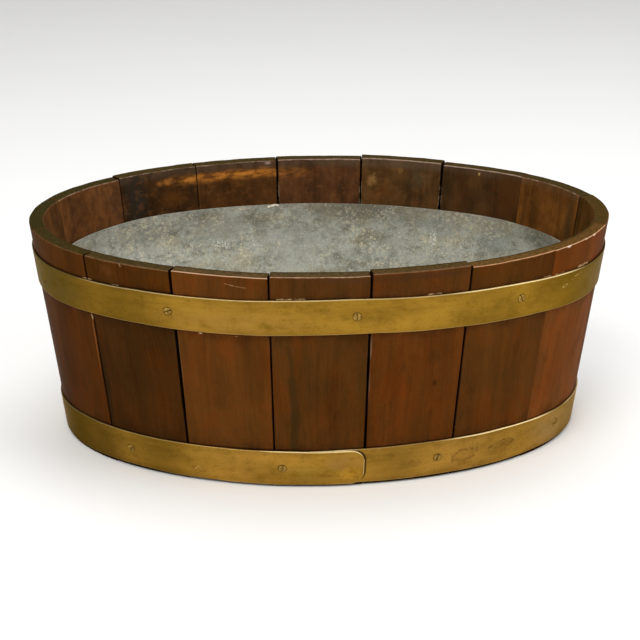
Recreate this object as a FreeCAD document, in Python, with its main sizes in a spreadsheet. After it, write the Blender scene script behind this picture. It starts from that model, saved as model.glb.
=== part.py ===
import FreeCAD, Part
import math
import os

# Oval coopered planter: sixteen splayed staves round a boarded base, bound by
# two lapped brass hoops that are screwed on, with a loose sheet-zinc liner.
# Millimetres, +Z up.  X runs along the oval's length, -Y is the front.
# The origin is on the floor, in the middle of the oval.

doc = FreeCAD.newDocument("oval_planter")

# ---------------------------------------------------------------- dimensions
sheet = doc.addObject("Spreadsheet::Sheet", "dims")
ROWS = [
    ("rim_semi_length", 305.0, "half length of the oval at the rim"),
    ("rim_semi_width", 199.0, "half width of the oval at the rim"),
    ("foot_semi_length", 276.4, "half length of the oval at the floor"),
    ("foot_semi_width", 170.4, "half width of the oval at the floor"),
    ("tub_height", 236.5, "height of the rim over the floor"),
    ("cone_low", -12.0, "lower end of the stave blank"),
    ("cone_high", 254.0, "upper end of the stave blank"),
    ("stave_thickness", 15.0, "thickness of a stave, level"),
    ("croze_low", 11.0, "lower side of the groove that holds the base"),
    ("croze_high", 19.0, "upper side of that groove"),
    ("croze_depth", 5.0, "depth of that groove"),
    ("base_low", 10.0, "underside of the base boards"),
    ("base_high", 22.0, "top of the base boards"),
    ("base_play", 0.4, "room between base boards and staves"),
    ("board_gap", 0.4, "open joint between two base boards"),
    ("board_edge", 52.0, "distance of those joints from the long axis"),
    ("dowel_radius", 4.0, "base dowels"),
    ("dowel_length", 40.0, "base dowels"),
    ("dowel_play", 0.1, "room round a dowel"),
    ("dowel_spread", 115.0, "distance of a dowel from the short axis"),
    ("hoop_thickness", 1.6, "brass strip"),
    ("hoop_play", 0.06, "room between hoop and staves"),
    ("upper_hoop_low", 173.5, "lower edge of the upper hoop"),
    ("upper_hoop_high", 212.3, "upper edge of the upper hoop"),
    ("lower_hoop_low", 2.4, "lower edge of the lower hoop"),
    ("lower_hoop_high", 44.2, "upper edge of the lower hoop"),
    ("lap_length", 104.0, "overlap of a hoop's two ends"),
    ("lap_corner", 14.0, "corner radius of the outer end"),
    ("screw_head_radius", 4.2, "countersunk head"),
    ("screw_head_depth", 2.3, "countersunk head"),
    ("screw_shank_radius", 2.0, "shank"),
    ("screw_length", 12.7, "overall length"),
    ("screw_point", 4.0, "length of the point"),
    ("screw_slot_width", 1.1, "slot in the head"),
    ("screw_slot_depth", 1.0, "slot in the head"),
    ("screw_play", 0.08, "room round a screw"),
    ("liner_thickness", 0.9, "sheet zinc"),
    ("liner_foot", 22.3, "lower edge of the liner wall"),
    ("liner_rim", 189.0, "upper edge of the liner wall"),
    ("liner_foot_play", 5.0, "room round the liner at its foot"),
    ("liner_rim_play", 8.0, "room round the liner at its rim"),
    ("liner_floor", 28.0, "top of the liner's bottom sheet"),
    ("liner_flange", 4.6, "depth of the bottom sheet's turned-down flange"),
    ("liner_seam_play", 0.06, "solder room between wall and bottom"),
    ("liner_lap", 16.0, "width of the wall's upright lap seam"),
    ("cutter_reach", 170.0, "size of a joint cutter along the oval"),
    ("cutter_depth", 130.0, "size of a joint cutter across the wall"),
    ("cutter_height", 360.0, "height of a joint cutter"),
    ("slab_length", 700.0, "size of a stave's trimming slab"),
    ("slab_width", 500.0, "size of a stave's trimming slab"),
]
# Joints between staves: parameter angle on the oval in degrees, open width.
# Joint n is where stave n starts, going anticlockwise seen from above.
JOINTS = [
    (193.0, 0.25), (218.3, 0.60), (239.8, 2.00), (258.8, 1.30),
    (277.4, 1.50), (296.8, 1.20), (318.0, 0.25), (343.2, 0.35),
    (12.3, 1.10), (37.6, 0.25), (59.8, 2.00), (79.0, 1.20),
    (98.0, 1.20), (117.1, 0.25), (138.3, 0.90), (163.8, 0.35),
]
# Each stave: height of its top over the nominal rim, height of its foot over
# the floor, and how far it leans along the oval (degrees).
STAVES = [
    (-0.9, 0.0, 0.0), (-0.8, 0.9, 0.0), (-0.6, 1.1, -0.85), (0.2, 0.0, 0.0),
    (2.3, 1.0, 0.0), (0.2, 0.8, 0.0), (-0.4, 0.0, 0.0), (-0.5, 0.7, 0.0),
    (-0.9, 0.9, 0.0), (-0.5, 0.0, 0.0), (2.0, 1.2, 0.80), (1.0, 0.8, 0.0),
    (0.1, 0.0, 0.0), (0.9, 0.9, 0.0), (-0.7, 0.6, 0.0), (-0.8, 1.0, 0.0),
]
# Screws: parameter angle, height, angle of the slot.
UPPER_SCREWS = [
    (238.6, 192.7, 25.0), (274.9, 194.6, 98.0), (309.5, 193.1, 118.0),
    (353.3, 193.0, 150.0), (40.2, 192.4, 80.0), (76.3, 193.2, 12.0),
    (109.4, 192.9, 99.0), (146.8, 193.1, 47.0), (195.0, 192.6, 135.0),
]
LOWER_SCREWS = [
    (224.2, 23.2, 40.0), (260.4, 22.6, 95.0), (293.4, 24.4, 70.0),
    (331.0, 24.6, 10.0), (21.6, 23.1, 122.0), (62.3, 23.4, 55.0),
    (95.9, 22.9, 160.0), (130.9, 23.3, 20.0), (176.7, 23.0, 84.0),
]
# The laps: parameter angle of the outer end of each strip.
LOWER_LAP_END = 277.3
UPPER_LAP_END = 92.0

rows = list(ROWS)
for i, (angle, gap) in enumerate(JOINTS, start=1):
    rows.append(("joint_angle_%02d" % i, angle, "degrees, start of stave %d" % i))
    rows.append(("joint_gap_%02d" % i, gap, "open width there"))
for i, (top, foot, lean) in enumerate(STAVES, start=1):
    rows.append(("stave_top_%02d" % i, top, "top over the nominal rim"))
    rows.append(("stave_foot_%02d" % i, foot, "foot over the floor"))
    rows.append(("stave_lean_%02d" % i, lean, "degrees along the oval"))
for i, (alias, value, note) in enumerate(rows, start=1):
    sheet.set("A%d" % i, alias)
    sheet.set("B%d" % i, "%g" % value)
    sheet.set("C%d" % i, note)
    sheet.setAlias("B%d" % i, alias)
doc.recompute()


def dim(alias):
    return float(sheet.get(alias))


def bind(obj, **exprs):
    for prop, expr in exprs.items():
        obj.setExpression(prop.replace("__", "."), expr)
    return obj


# ------------------------------------------------------------ oval geometry
def wall(axis, z, off):
    """Expression for a semi-axis of the outer oval at height z, plus off."""
    return ("dims.foot_semi_%s + (dims.rim_semi_%s - dims.foot_semi_%s) * (%s)"
            " / dims.tub_height + (%s)" % (axis, axis, axis, z, off))


def oval(name, z, off):
    e = doc.addObject("Part::Ellipse", name)
    bind(e, MajorRadius=wall("length", z, off), MinorRadius=wall("width", z, off),
         Placement__Base__z=z)
    return e


def cone(name, low, high, off_low, off_high=None):
    """Solid splayed oval between two heights."""
    if off_high is None:
        off_high = off_low
    lo = oval(name + "_low", low, off_low)
    hi = oval(name + "_high", high, off_high)
    loft = doc.addObject("Part::Loft", name)
    loft.Sections = [lo, hi]
    loft.Solid = True
    loft.Ruled = True
    loft.Closed = False
    return loft


def boolean(kind, name, base, tool):
    o = doc.addObject("Part::" + kind, name)
    o.Base = base
    o.Tool = tool
    return o


def semi(z, off=0.0):
    k = z / dim("tub_height")
    a = dim("foot_semi_length") + (dim("rim_semi_length") - dim("foot_semi_length")) * k
    b = dim("foot_semi_width") + (dim("rim_semi_width") - dim("foot_semi_width")) * k
    return a + off, b + off


def on_wall(angle, z, off=0.0):
    a, b = semi(z, off)
    t = math.radians(angle)
    return FreeCAD.Vector(a * math.cos(t), b * math.sin(t), z)


def normal_at(angle, z):
    """Outward normal of the splayed wall."""
    a, b = semi(z)
    t = math.radians(angle)
    da = (dim("rim_semi_length") - dim("foot_semi_length")) / dim("tub_height")
    db = (dim("rim_semi_width") - dim("foot_semi_width")) / dim("tub_height")
    v = FreeCAD.Vector(b * math.cos(t), a * math.sin(t),
                       -(a * db * math.sin(t) ** 2 + b * da * math.cos(t) ** 2))
    return v.normalize()


def frame_placement(base, x, y, z):
    m = FreeCAD.Matrix(x.x, y.x, z.x, base.x,
                       x.y, y.y, z.y, base.y,
                       x.z, y.z, z.z, base.z,
                       0, 0, 0, 1)
    return FreeCAD.Placement(m)


def joint_axes(angle):
    """Along the oval, across the wall, and up the joint line."""
    up = on_wall(angle, dim("tub_height")) - on_wall(angle, 0.0)
    up.normalize()
    a, b = semi(dim("tub_height") / 2)
    t = math.radians(angle)
    out = FreeCAD.Vector(math.cos(t) / a, math.sin(t) / b, 0)
    along = up.cross(out)
    along.normalize()
    across = up.cross(along)
    across.normalize()
    return along, across, up


# -------------------------------------------------------------------- screws
def body_plane(body, role):
    for f in body.Origin.OriginFeatures:
        if f.Role == role:
            return f
    raise RuntimeError("no plane " + role)


def line(sk, p, q):
    return sk.addGeometry(Part.LineSegment(FreeCAD.Vector(p[0], p[1], 0),
                                           FreeCAD.Vector(q[0], q[1], 0)), False)


def outline(sk, pts):
    """Closed polygon, each corner tied to the next."""
    ids = []
    n = len(pts)
    for i in range(n):
        ids.append(line(sk, pts[i], pts[(i + 1) % n]))
    import Sketcher
    for i in range(n):
        sk.addConstraint(Sketcher.Constraint("Coincident", ids[i], 2, ids[(i + 1) % n], 1))
    return ids


def turned(name, play):
    """Countersunk wood screw, or the hole for one, turned about Z.
    The head's face is at z = 0 and the point is at negative z."""
    import Sketcher
    rh = dim("screw_head_radius") + play
    rs = dim("screw_shank_radius") + play
    hd = dim("screw_head_depth")
    ln = dim("screw_length") + play
    pt = dim("screw_point")
    body = doc.addObject("PartDesign::Body", name)
    sk = body.newObject("Sketcher::SketchObject", name + "_profile")
    sk.AttachmentSupport = [(body_plane(body, "XZ_Plane"), "")]
    sk.MapMode = "FlatFace"
    face = 0.0 if play == 0 else 0.6
    tip = 0.35
    pts = [(0.0, face), (rh, face), (rh, -0.15), (rs, -hd), (rs, -(ln - pt)), (tip, -ln), (0.0, -ln)]
    ids = outline(sk, pts)
    C = Sketcher.Constraint
    sk.addConstraint(C("Horizontal", ids[0]))
    sk.addConstraint(C("Vertical", ids[1]))
    sk.addConstraint(C("Vertical", ids[3]))
    sk.addConstraint(C("Horizontal", ids[5]))
    sk.addConstraint(C("PointOnObject", ids[6], 1, -2))
    sk.addConstraint(C("PointOnObject", ids[6], 2, -2))
    if face == 0.0:
        sk.addConstraint(C("PointOnObject", ids[0], 1, -1))
    else:
        sk.addConstraint(C("DistanceY", -1, 1, ids[0], 1, face))
    extra = "" if play == 0 else " + dims.screw_play"
    named = [
        ("head", C("DistanceX", -1, 1, ids[1], 1, rh), "dims.screw_head_radius" + extra),
        ("edge", C("DistanceY", ids[1], 2, -1, 1, 0.15), None),
        ("shank", C("DistanceX", -1, 1, ids[3], 1, rs), "dims.screw_shank_radius" + extra),
        ("sink", C("DistanceY", ids[3], 1, -1, 1, hd), "dims.screw_head_depth"),
        ("reach", C("DistanceY", ids[5], 1, -1, 1, ln), "dims.screw_length" + extra),
        ("point", C("DistanceY", ids[5], 1, ids[3], 2, pt), "dims.screw_point"),
        ("tip", C("DistanceX", -1, 1, ids[5], 1, tip), None),
    ]
    for key, con, expr in named:
        k = sk.addConstraint(con)
        sk.renameConstraint(k, key)
        if expr:
            sk.setExpression("Constraints." + key, expr)
    rev = body.newObject("PartDesign::Revolution", name + "_turned")
    rev.Profile = sk
    rev.ReferenceAxis = (sk, ["V_Axis"])
    rev.Angle = 360.0
    doc.recompute()
    return body


screw = turned("wood_screw", 0)
solid_volume = screw.Shape.Volume
slot = screw.newObject("Sketcher::SketchObject", "slot_profile")
slot.AttachmentSupport = [(body_plane(screw, "XY_Plane"), "")]
slot.MapMode = "FlatFace"
w = dim("screw_slot_width") / 2
r = dim("screw_head_radius") + 1
outline(slot, [(-r, -w), (r, -w), (r, w), (-r, w)])
import Sketcher
for k, kind in enumerate(("Horizontal", "Vertical", "Horizontal", "Vertical")):
    slot.addConstraint(Sketcher.Constraint(kind, k))
slot.addConstraint(Sketcher.Constraint("Symmetric", 0, 1, 2, 1, -1, 1))
k = slot.addConstraint(Sketcher.Constraint("DistanceY", 1, 1, 1, 2, 2 * w))
slot.renameConstraint(k, "slot_width")
slot.setExpression("Constraints.slot_width", "dims.screw_slot_width")
k = slot.addConstraint(Sketcher.Constraint("DistanceX", 0, 1, 0, 2, 2 * r))
slot.renameConstraint(k, "slot_run")
slot.setExpression("Constraints.slot_run", "2 * dims.screw_head_radius + 2")
pocket = screw.newObject("PartDesign::Pocket", "slot")
pocket.Profile = slot
pocket.setExpression("Length", "dims.screw_slot_depth")
pocket.Reversed = False
doc.recompute()
if screw.Shape.Volume > solid_volume - 1.0:
    pocket.Reversed = True
    doc.recompute()
assert screw.Shape.Volume < solid_volume - 1.0, "the slot cuts nothing"

screw_hole = turned("screw_hole", dim("screw_play"))


def lap_rise(angle, end):
    """How far the outer strip stands off at an angle inside its lap."""
    span = dim("lap_length")
    d = (on_wall(end, 0.0) - on_wall(angle, 0.0)).Length
    if angle > end or d > span:
        return 0.0
    return dim("hoop_thickness") * (1 - d / span)


def screw_placement(angle, z, turn, lap_end):
    n = normal_at(angle, z)
    off = dim("hoop_play") + dim("hoop_thickness") + lap_rise(angle, lap_end)
    base = on_wall(angle, z) + n * off
    t = math.radians(angle)
    a, b = semi(z)
    along = FreeCAD.Vector(-a * math.sin(t), b * math.cos(t), 0)
    along.normalize()
    up = n.cross(along)
    up.normalize()
    c, s = math.cos(math.radians(turn)), math.sin(math.radians(turn))
    x = along * c + up * s
    y = n.cross(x)
    return frame_placement(base, x, y, n)


def linked(target, name, placement):
    o = doc.addObject("App::Link", name)
    o.LinkedObject = target
    o.LinkTransform = False
    o.Placement = placement
    return o


def group(name, members):
    g = doc.addObject("Part::Compound", name)
    g.Links = members
    return g


screw_places = {"upper_hoop": [screw_placement(a, z, s, UPPER_LAP_END) for a, z, s in UPPER_SCREWS],
                "lower_hoop": [screw_placement(a, z, s, LOWER_LAP_END) for a, z, s in LOWER_SCREWS]}
screw_angles = {"upper_hoop": [v[0] for v in UPPER_SCREWS], "lower_hoop": [v[0] for v in LOWER_SCREWS]}
parts = []
for hoop in ("upper_hoop", "lower_hoop"):
    members = [linked(screw, "%s_screw_%d" % (hoop, i), p)
               for i, p in enumerate(screw_places[hoop], start=1)]
    g = group(hoop + "_screws", members)
    g.Label = hoop + "_screws"
    parts.append(g)


def bore(name, base, places):
    """Bores one screw hole after another. Each hole is tried with its screw,
    and is made again with the round tool turned on its axis if the screw
    does not stand clear all round."""
    for k, place in enumerate(places, start=1):
        doc.recompute()
        faces = len(base.Shape.Faces)
        screw_here = screw.Shape.copy()
        screw_here.Placement = place.multiply(screw_here.Placement)
        done = None
        for twist in (0.0, 23.0, 51.0, 97.0, 139.0, 171.0, 211.0, 263.0, 311.0):
            spin = FreeCAD.Placement(FreeCAD.Vector(), FreeCAD.Rotation(FreeCAD.Vector(0, 0, 1), twist))
            hole = linked(screw_hole, "%s_hole_%d" % (name, k), place.multiply(spin))
            cut = boolean("Cut", "%s_bored_%d" % (name, k), base, hole)
            doc.recompute()
            s = cut.Shape
            if (not s.isNull() and s.isValid() and len(s.Solids) == 1
                    and 0 < len(s.Faces) - faces < 8
                    and s.distToShape(screw_here)[0] > 0.3 * dim("screw_play")
                    and s.common(screw_here).Volume < 0.01):
                done = cut
                break
            doc.removeObject(cut.Name)
            doc.removeObject(hole.Name)
        if done is None:
            raise RuntimeError("no clean hole %d in %s" % (k, name))
        base = done
    return base


# -------------------------------------------------------------------- staves
outer = cone("stave_outside", "dims.cone_low", "dims.cone_high", "0")
inner = cone("stave_inside", "dims.cone_low", "dims.cone_high", "-dims.stave_thickness")
shell = boolean("Cut", "stave_wall", outer, inner)
croze = cone("croze", "dims.croze_low", "dims.croze_high", "dims.croze_depth - dims.stave_thickness")
grooved = boolean("Cut", "grooved_wall", shell, croze)


def joint_cutter(name, angle, gap, side):
    """Block that fills one side of a joint, back from it by half the gap."""
    along, across, up = joint_axes(angle)
    box = doc.addObject("Part::Box", name)
    bind(box, Length="dims.cutter_reach", Width="dims.cutter_depth", Height="dims.cutter_height")
    start = gap / 2 if side > 0 else -gap / 2 - dim("cutter_reach")
    base = (on_wall(angle, 0.0) + along * start - across * (dim("cutter_depth") / 2)
            - up * 60.0)
    box.Placement = frame_placement(base, along, across, up)
    return box


count = len(STAVES)
for i in range(1, count + 1):
    j = i % count + 1
    a0 = dim("joint_angle_%02d" % i)
    a1 = dim("joint_angle_%02d" % j)
    if a1 < a0:
        a1 += 360.0
    mid = (a0 + a1) / 2
    first = joint_cutter("joint_%02d_after" % i, a0, dim("joint_gap_%02d" % i), 1)
    last = joint_cutter("joint_%02d_before" % j, a1, dim("joint_gap_%02d" % j), -1)
    wedge = boolean("Common", "wedge_%02d" % i, first, last)
    slab = doc.addObject("Part::Box", "trim_%02d" % i)
    bind(slab, Length="dims.slab_length", Width="dims.slab_width",
         Height="dims.tub_height + dims.stave_top_%02d - dims.stave_foot_%02d" % (i, i))
    foot = dim("stave_foot_%02d" % i)
    lean = dim("stave_lean_%02d" % i)
    flat = FreeCAD.Placement(FreeCAD.Vector(-dim("slab_length") / 2, -dim("slab_width") / 2, foot),
                             FreeCAD.Rotation())
    if lean:
        pivot = on_wall(mid, dim("tub_height") / 2)
        t = math.radians(mid)
        a, b = semi(dim("tub_height") / 2)
        axis = FreeCAD.Vector(math.cos(t) / a, math.sin(t) / b, 0)
        turn = FreeCAD.Placement(FreeCAD.Vector(), FreeCAD.Rotation(axis, lean), pivot)
        # keep the tilted slab's lower face level with the foot height at the joint
        flat = turn.multiply(flat)
    slab.Placement = flat
    blank = boolean("Common", "blank_%02d" % i, wedge, slab)
    stave = boolean("Common", "stave_%02d_plain" % i, grooved, blank)
    mine = []
    for hoop in screw_places:
        for angle, place in zip(screw_angles[hoop], screw_places[hoop]):
            if (angle - a0) % 360.0 < a1 - a0:
                mine.append(place)
    stave = bore("stave_%02d" % i, stave, mine)
    stave.Label = "stave_%02d" % i
    parts.append(stave)

# --------------------------------------------------------------------- hoops


def lap_tab(name, low, high):
    """Plate with two rounded corners, the outline of a strip's outer end."""
    body = doc.addObject("PartDesign::Body", name)
    sk = body.newObject("Sketcher::SketchObject", name + "_outline")
    sk.AttachmentSupport = [(body_plane(body, "XZ_Plane"), "")]
    sk.MapMode = "FlatFace"
    width = dim(high) - dim(low)
    length = dim("lap_length")
    outline(sk, [(-length, 0), (0, 0), (0, width), (-length, width)])
    C = Sketcher.Constraint
    sk.addConstraint(C("Horizontal", 0))
    sk.addConstraint(C("Vertical", 1))
    sk.addConstraint(C("Horizontal", 2))
    sk.addConstraint(C("Vertical", 3))
    sk.addConstraint(C("Coincident", 1, 1, -1, 1))
    k = sk.addConstraint(C("DistanceX", 0, 1, 0, 2, length))
    sk.renameConstraint(k, "lap")
    sk.setExpression("Constraints.lap", "dims.lap_length")
    k = sk.addConstraint(C("DistanceY", 1, 1, 1, 2, width))
    sk.renameConstraint(k, "strip")
    sk.setExpression("Constraints.strip", "dims.%s - dims.%s" % (high, low))
    pad = body.newObject("PartDesign::Pad", name + "_plate")
    pad.Profile = sk
    pad.Length = 60.0
    pad.Midplane = True
    doc.recompute()
    corners = []
    for n, e in enumerate(pad.Shape.Edges, start=1):
        v = e.Vertexes
        if len(v) == 2 and abs(v[0].X) < 0.01 and abs(v[1].X) < 0.01 and abs(v[0].Y - v[1].Y) > 50:
            corners.append("Edge%d" % n)
    assert len(corners) == 2, corners
    fil = body.newObject("PartDesign::Fillet", name + "_corners")
    fil.Base = (pad, corners)
    fil.setExpression("Radius", "dims.lap_corner")
    doc.recompute()
    return body


def make_hoop(name, lap_end):
    low, high = "dims.%s_low" % name, "dims.%s_high" % name
    out = cone(name + "_outside", low, high, "dims.hoop_play + dims.hoop_thickness")
    inn = cone(name + "_inside", low, high, "dims.hoop_play")
    ring = boolean("Cut", name + "_ring", out, inn)
    # the outer end of the strip, swung out about the start of the lap
    zl, zh = dim(name + "_low"), dim(name + "_high")
    start = lap_end
    while (on_wall(start, zl) - on_wall(lap_end, zl)).Length < dim("lap_length"):
        start -= 0.05
    zm = (zl + zh) / 2
    pivot = on_wall(start, zm)
    swing = -math.degrees(math.asin((dim("hoop_thickness") + 0.02) / dim("lap_length")))
    out2 = cone(name + "_lap_outside", low, high, "dims.hoop_play + dims.hoop_thickness")
    inn2 = cone(name + "_lap_inside", low, high, "dims.hoop_play + 0.03")
    strip = boolean("Cut", name + "_lap_strip", out2, inn2)
    strip.Placement = FreeCAD.Placement(FreeCAD.Vector(), FreeCAD.Rotation(FreeCAD.Vector(0, 0, 1), swing), pivot)
    tab = lap_tab(name + "_lap_tab", name + "_low", name + "_high")
    n = normal_at(lap_end, zm)
    t = math.radians(lap_end)
    a, b = semi(zm)
    chord = on_wall(lap_end, zl) - on_wall(start, zl)
    chord.normalize()
    outn = FreeCAD.Vector(chord.y, -chord.x, 0)
    tab.Placement = frame_placement(FreeCAD.Vector(on_wall(lap_end, zm).x, on_wall(lap_end, zm).y, zl),
                                    chord, outn * -1, FreeCAD.Vector(0, 0, 1))
    lap = boolean("Common", name + "_lap", strip, tab)
    lapped = [p for a, p in zip(screw_angles[name], screw_places[name]) if lap_rise(a, lap_end) > 0]
    ring_bored = bore(name + "_ring", ring, screw_places[name])
    lap_bored = bore(name + "_lap", lap, lapped)
    bored = boolean("Fuse", name, ring_bored, lap_bored)
    bored.Refine = False
    bored.Label = name
    parts.append(bored)
    return ring, lap, bored


made = {name: make_hoop(name, end)
        for name, end in (("upper_hoop", UPPER_LAP_END), ("lower_hoop", LOWER_LAP_END))}

# ---------------------------------------------------------------------- base
tongue_off = "dims.croze_depth - dims.stave_thickness - dims.base_play"
plate = cone("base_plate", "dims.base_low", "dims.base_high", "-dims.stave_thickness - dims.base_play")
tongue = cone("base_tongue", "dims.croze_low + 0.3", "dims.croze_high - 0.3", tongue_off)
disc = boolean("Fuse", "base_disc", plate, tongue)

dowels = []
dowel_holes = []
for i, (sx, sy) in enumerate(((-1, -1), (1, -1), (-1, 1), (1, 1)), start=1):
    for kind, store in (("dowel", dowels), ("dowel_hole", dowel_holes)):
        c = doc.addObject("Part::Cylinder", "%s_%d" % (kind, i))
        grow = "" if kind == "dowel" else " + dims.dowel_play"
        bind(c, Radius="dims.dowel_radius" + grow, Height="dims.dowel_length" + grow + grow)
        more = 0.0 if kind == "dowel" else dim("dowel_play")
        c.Placement = FreeCAD.Placement(
            FreeCAD.Vector(sx * dim("dowel_spread"),
                           sy * dim("board_edge") + dim("dowel_length") / 2 + more,
                           (dim("base_low") + dim("base_high")) / 2),
            FreeCAD.Rotation(FreeCAD.Vector(1, 0, 0), 90))
        store.append(c)
g = group("base_dowels", dowels)
g.Label = "base_dowels"
parts.append(g)

for name, y0, y1 in (("base_board_front", "-dims.rim_semi_width", "-dims.board_edge - dims.board_gap / 2"),
                     ("base_board_middle", "-dims.board_edge + dims.board_gap / 2",
                      "dims.board_edge - dims.board_gap / 2"),
                     ("base_board_back", "dims.board_edge + dims.board_gap / 2", "dims.rim_semi_width")):
    box = doc.addObject("Part::Box", name + "_cut")
    bind(box, Length="2 * dims.rim_semi_length", Width="(%s) - (%s)" % (y1, y0), Height="dims.tub_height",
         Placement__Base__x="-dims.rim_semi_length", Placement__Base__y=y0, Placement__Base__z="-10")
    board = boolean("Common", name + "_plain", disc, box)
    board = boolean("Cut", name, board, group(name + "_dowel_holes", dowel_holes))
    board.Label = name
    parts.append(board)

# --------------------------------------------------------------------- liner
foot_off = "-dims.stave_thickness - dims.liner_foot_play"
rim_off = "-dims.stave_thickness - dims.liner_rim_play"


def liner_off(z, more):
    """Offset of the liner's outside from the outer oval at a height."""
    return ("-dims.stave_thickness - dims.liner_foot_play - (dims.liner_rim_play - dims.liner_foot_play)"
            " * ((%s) - dims.liner_foot) / (dims.liner_rim - dims.liner_foot) + (%s)" % (z, more))


def liner_cone(name, low, high, more):
    return cone(name, low, high, liner_off(low, more), liner_off(high, more))


l_out = liner_cone("liner_outside", "dims.liner_foot", "dims.liner_rim", "0")
l_in = liner_cone("liner_inside", "dims.liner_foot", "dims.liner_rim", "-dims.liner_thickness")
l_ring = boolean("Cut", "liner_ring", l_out, l_in)
# upright lap seam on the inside of the front, above the bottom sheet
s_out = liner_cone("liner_seam_outside", "dims.liner_floor + 0.4", "dims.liner_rim", "-dims.liner_thickness + 0.1")
s_in = liner_cone("liner_seam_inside", "dims.liner_floor + 0.4", "dims.liner_rim", "-2 * dims.liner_thickness")
s_ring = boolean("Cut", "liner_seam_ring", s_out, s_in)
s_box = doc.addObject("Part::Box", "liner_seam_width")
bind(s_box, Length="dims.liner_lap", Width="dims.rim_semi_width", Height="dims.tub_height",
     Placement__Base__x="-30 - dims.liner_lap / 2", Placement__Base__y="-dims.rim_semi_width")
s_lap = boolean("Common", "liner_seam", s_ring, s_box)
l_wall = boolean("Fuse", "liner_wall", l_ring, s_lap)
l_wall.Label = "liner_wall"
parts.append(l_wall)

inside = "-dims.liner_thickness - dims.liner_seam_play"
sheet_low = "dims.liner_floor - dims.liner_thickness"
b_top = liner_cone("liner_bottom_sheet", "dims.liner_floor - dims.liner_thickness - dims.liner_flange",
                   "dims.liner_floor", inside)
b_in = liner_cone("liner_bottom_hollow", "dims.liner_floor - dims.liner_thickness - dims.liner_flange",
                  sheet_low, "-2 * dims.liner_thickness - dims.liner_seam_play")
l_base = boolean("Cut", "liner_base", b_top, b_in)
l_base.Label = "liner_base"
parts.append(l_base)

doc.recompute()

# -------------------------------------------------------------------- checks
bad = []
for o in doc.Objects:
    if "Invalid" in o.State or "Error" in o.State:
        bad.append("%s %s" % (o.Name, o.State))
for o in parts:
    s = o.Shape
    if s.isNull() or not s.isValid():
        bad.append("%s shape" % o.Label)
if bad:
    raise RuntimeError("failed: " + "; ".join(bad))
for name, (ring, lap, hoop) in made.items():
    assert len(hoop.Shape.Solids) == 1, name
    assert lap.Shape.Volume > 1000, name
    for place in screw_places[name]:
        here = screw.Shape.copy()
        here.Placement = place.multiply(here.Placement)
        assert hoop.Shape.distToShape(here)[0] > 0.3 * dim("screw_play"), name
        assert hoop.Shape.common(here).Volume < 0.01, name
for o in parts:
    want = {"upper_hoop_screws": 9, "lower_hoop_screws": 9, "base_dowels": 4}.get(o.Label, 1)
    n = len(o.Shape.Solids)
    assert n == want, (o.Label, n)
    bb = o.Shape.BoundBox
    print("%-20s %2d solid(s) %10.0f mm3  x %7.1f..%7.1f  y %7.1f..%7.1f  z %6.1f..%6.1f" % (
        o.Label, n, o.Shape.Volume, bb.XMin, bb.XMax, bb.YMin, bb.YMax, bb.ZMin, bb.ZMax))

os.makedirs("parts", exist_ok=True)
for o in parts:
    o.Shape.exportStep("parts/%s.step" % o.Label)
print("%d sub-parts written" % len(parts))
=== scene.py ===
import bpy
import math
import numpy as np
from mathutils import Matrix, Vector


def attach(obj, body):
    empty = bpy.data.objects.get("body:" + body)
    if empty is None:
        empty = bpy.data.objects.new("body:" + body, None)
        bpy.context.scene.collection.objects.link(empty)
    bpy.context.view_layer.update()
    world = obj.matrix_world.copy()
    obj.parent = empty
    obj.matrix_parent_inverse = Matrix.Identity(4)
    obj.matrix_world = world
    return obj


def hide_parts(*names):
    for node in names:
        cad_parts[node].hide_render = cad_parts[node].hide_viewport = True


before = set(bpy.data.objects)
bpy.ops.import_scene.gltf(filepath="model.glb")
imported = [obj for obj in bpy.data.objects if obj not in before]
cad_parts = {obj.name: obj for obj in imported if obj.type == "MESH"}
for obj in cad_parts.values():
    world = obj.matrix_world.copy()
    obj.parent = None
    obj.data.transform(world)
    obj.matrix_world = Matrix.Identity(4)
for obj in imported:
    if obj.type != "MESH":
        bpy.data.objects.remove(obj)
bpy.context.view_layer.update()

# ------------------------------------------------------------------ geometry
# Oval coopered planter, millimetres here, metres in the meshes.
# X along the oval, -Y to the front, Z up, floor at z = 0.
A_RIM, B_RIM = 305.0, 199.0
A_FOOT, B_FOOT = 276.4, 170.4
H = 236.5
T = 15.0

JOINTS = [
    (193.0, 0.25), (218.3, 0.60), (239.8, 2.00), (258.8, 1.30),
    (277.4, 1.50), (296.8, 1.20), (318.0, 0.25), (343.2, 0.35),
    (12.3, 1.10), (37.6, 0.25), (59.8, 2.00), (79.0, 1.20),
    (98.0, 1.20), (117.1, 0.25), (138.3, 0.90), (163.8, 0.35),
]
STAVES = [
    (-0.9, 0.0, 0.0), (-0.8, 0.9, 0.0), (-0.6, 1.1, -0.85), (0.2, 0.0, 0.0),
    (2.2, 1.0, 0.0), (0.0, 0.8, 0.0), (-0.2, 0.0, 0.0), (-0.3, 0.7, 0.0),
    (-0.8, 0.9, 0.0), (-0.6, 0.0, 0.0), (1.9, 1.2, 0.80), (1.0, 0.8, 0.0),
    (0.5, 0.0, 0.0), (0.5, 0.9, 0.0), (-0.7, 0.6, 0.0), (-0.8, 1.0, 0.0),
]
# How wide each joint looks where it stands open: outside in front, inside behind.
SHOWN = [0.20, 1.60, 2.70, 1.50, 2.20, 2.10, 0.20, 0.12,
         1.60, 0.20, 2.60, 1.90, 2.00, 0.65, 0.80, 0.12]
# Small steps between the faces of neighbours.
INSET = [0.10, 0.22, 0.05, 0.30, 0.00, 0.15, 0.15, 0.15,
         0.25, 0.25, 0.34, 0.36, 0.16, 0.12, 0.20, 0.20]
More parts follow.
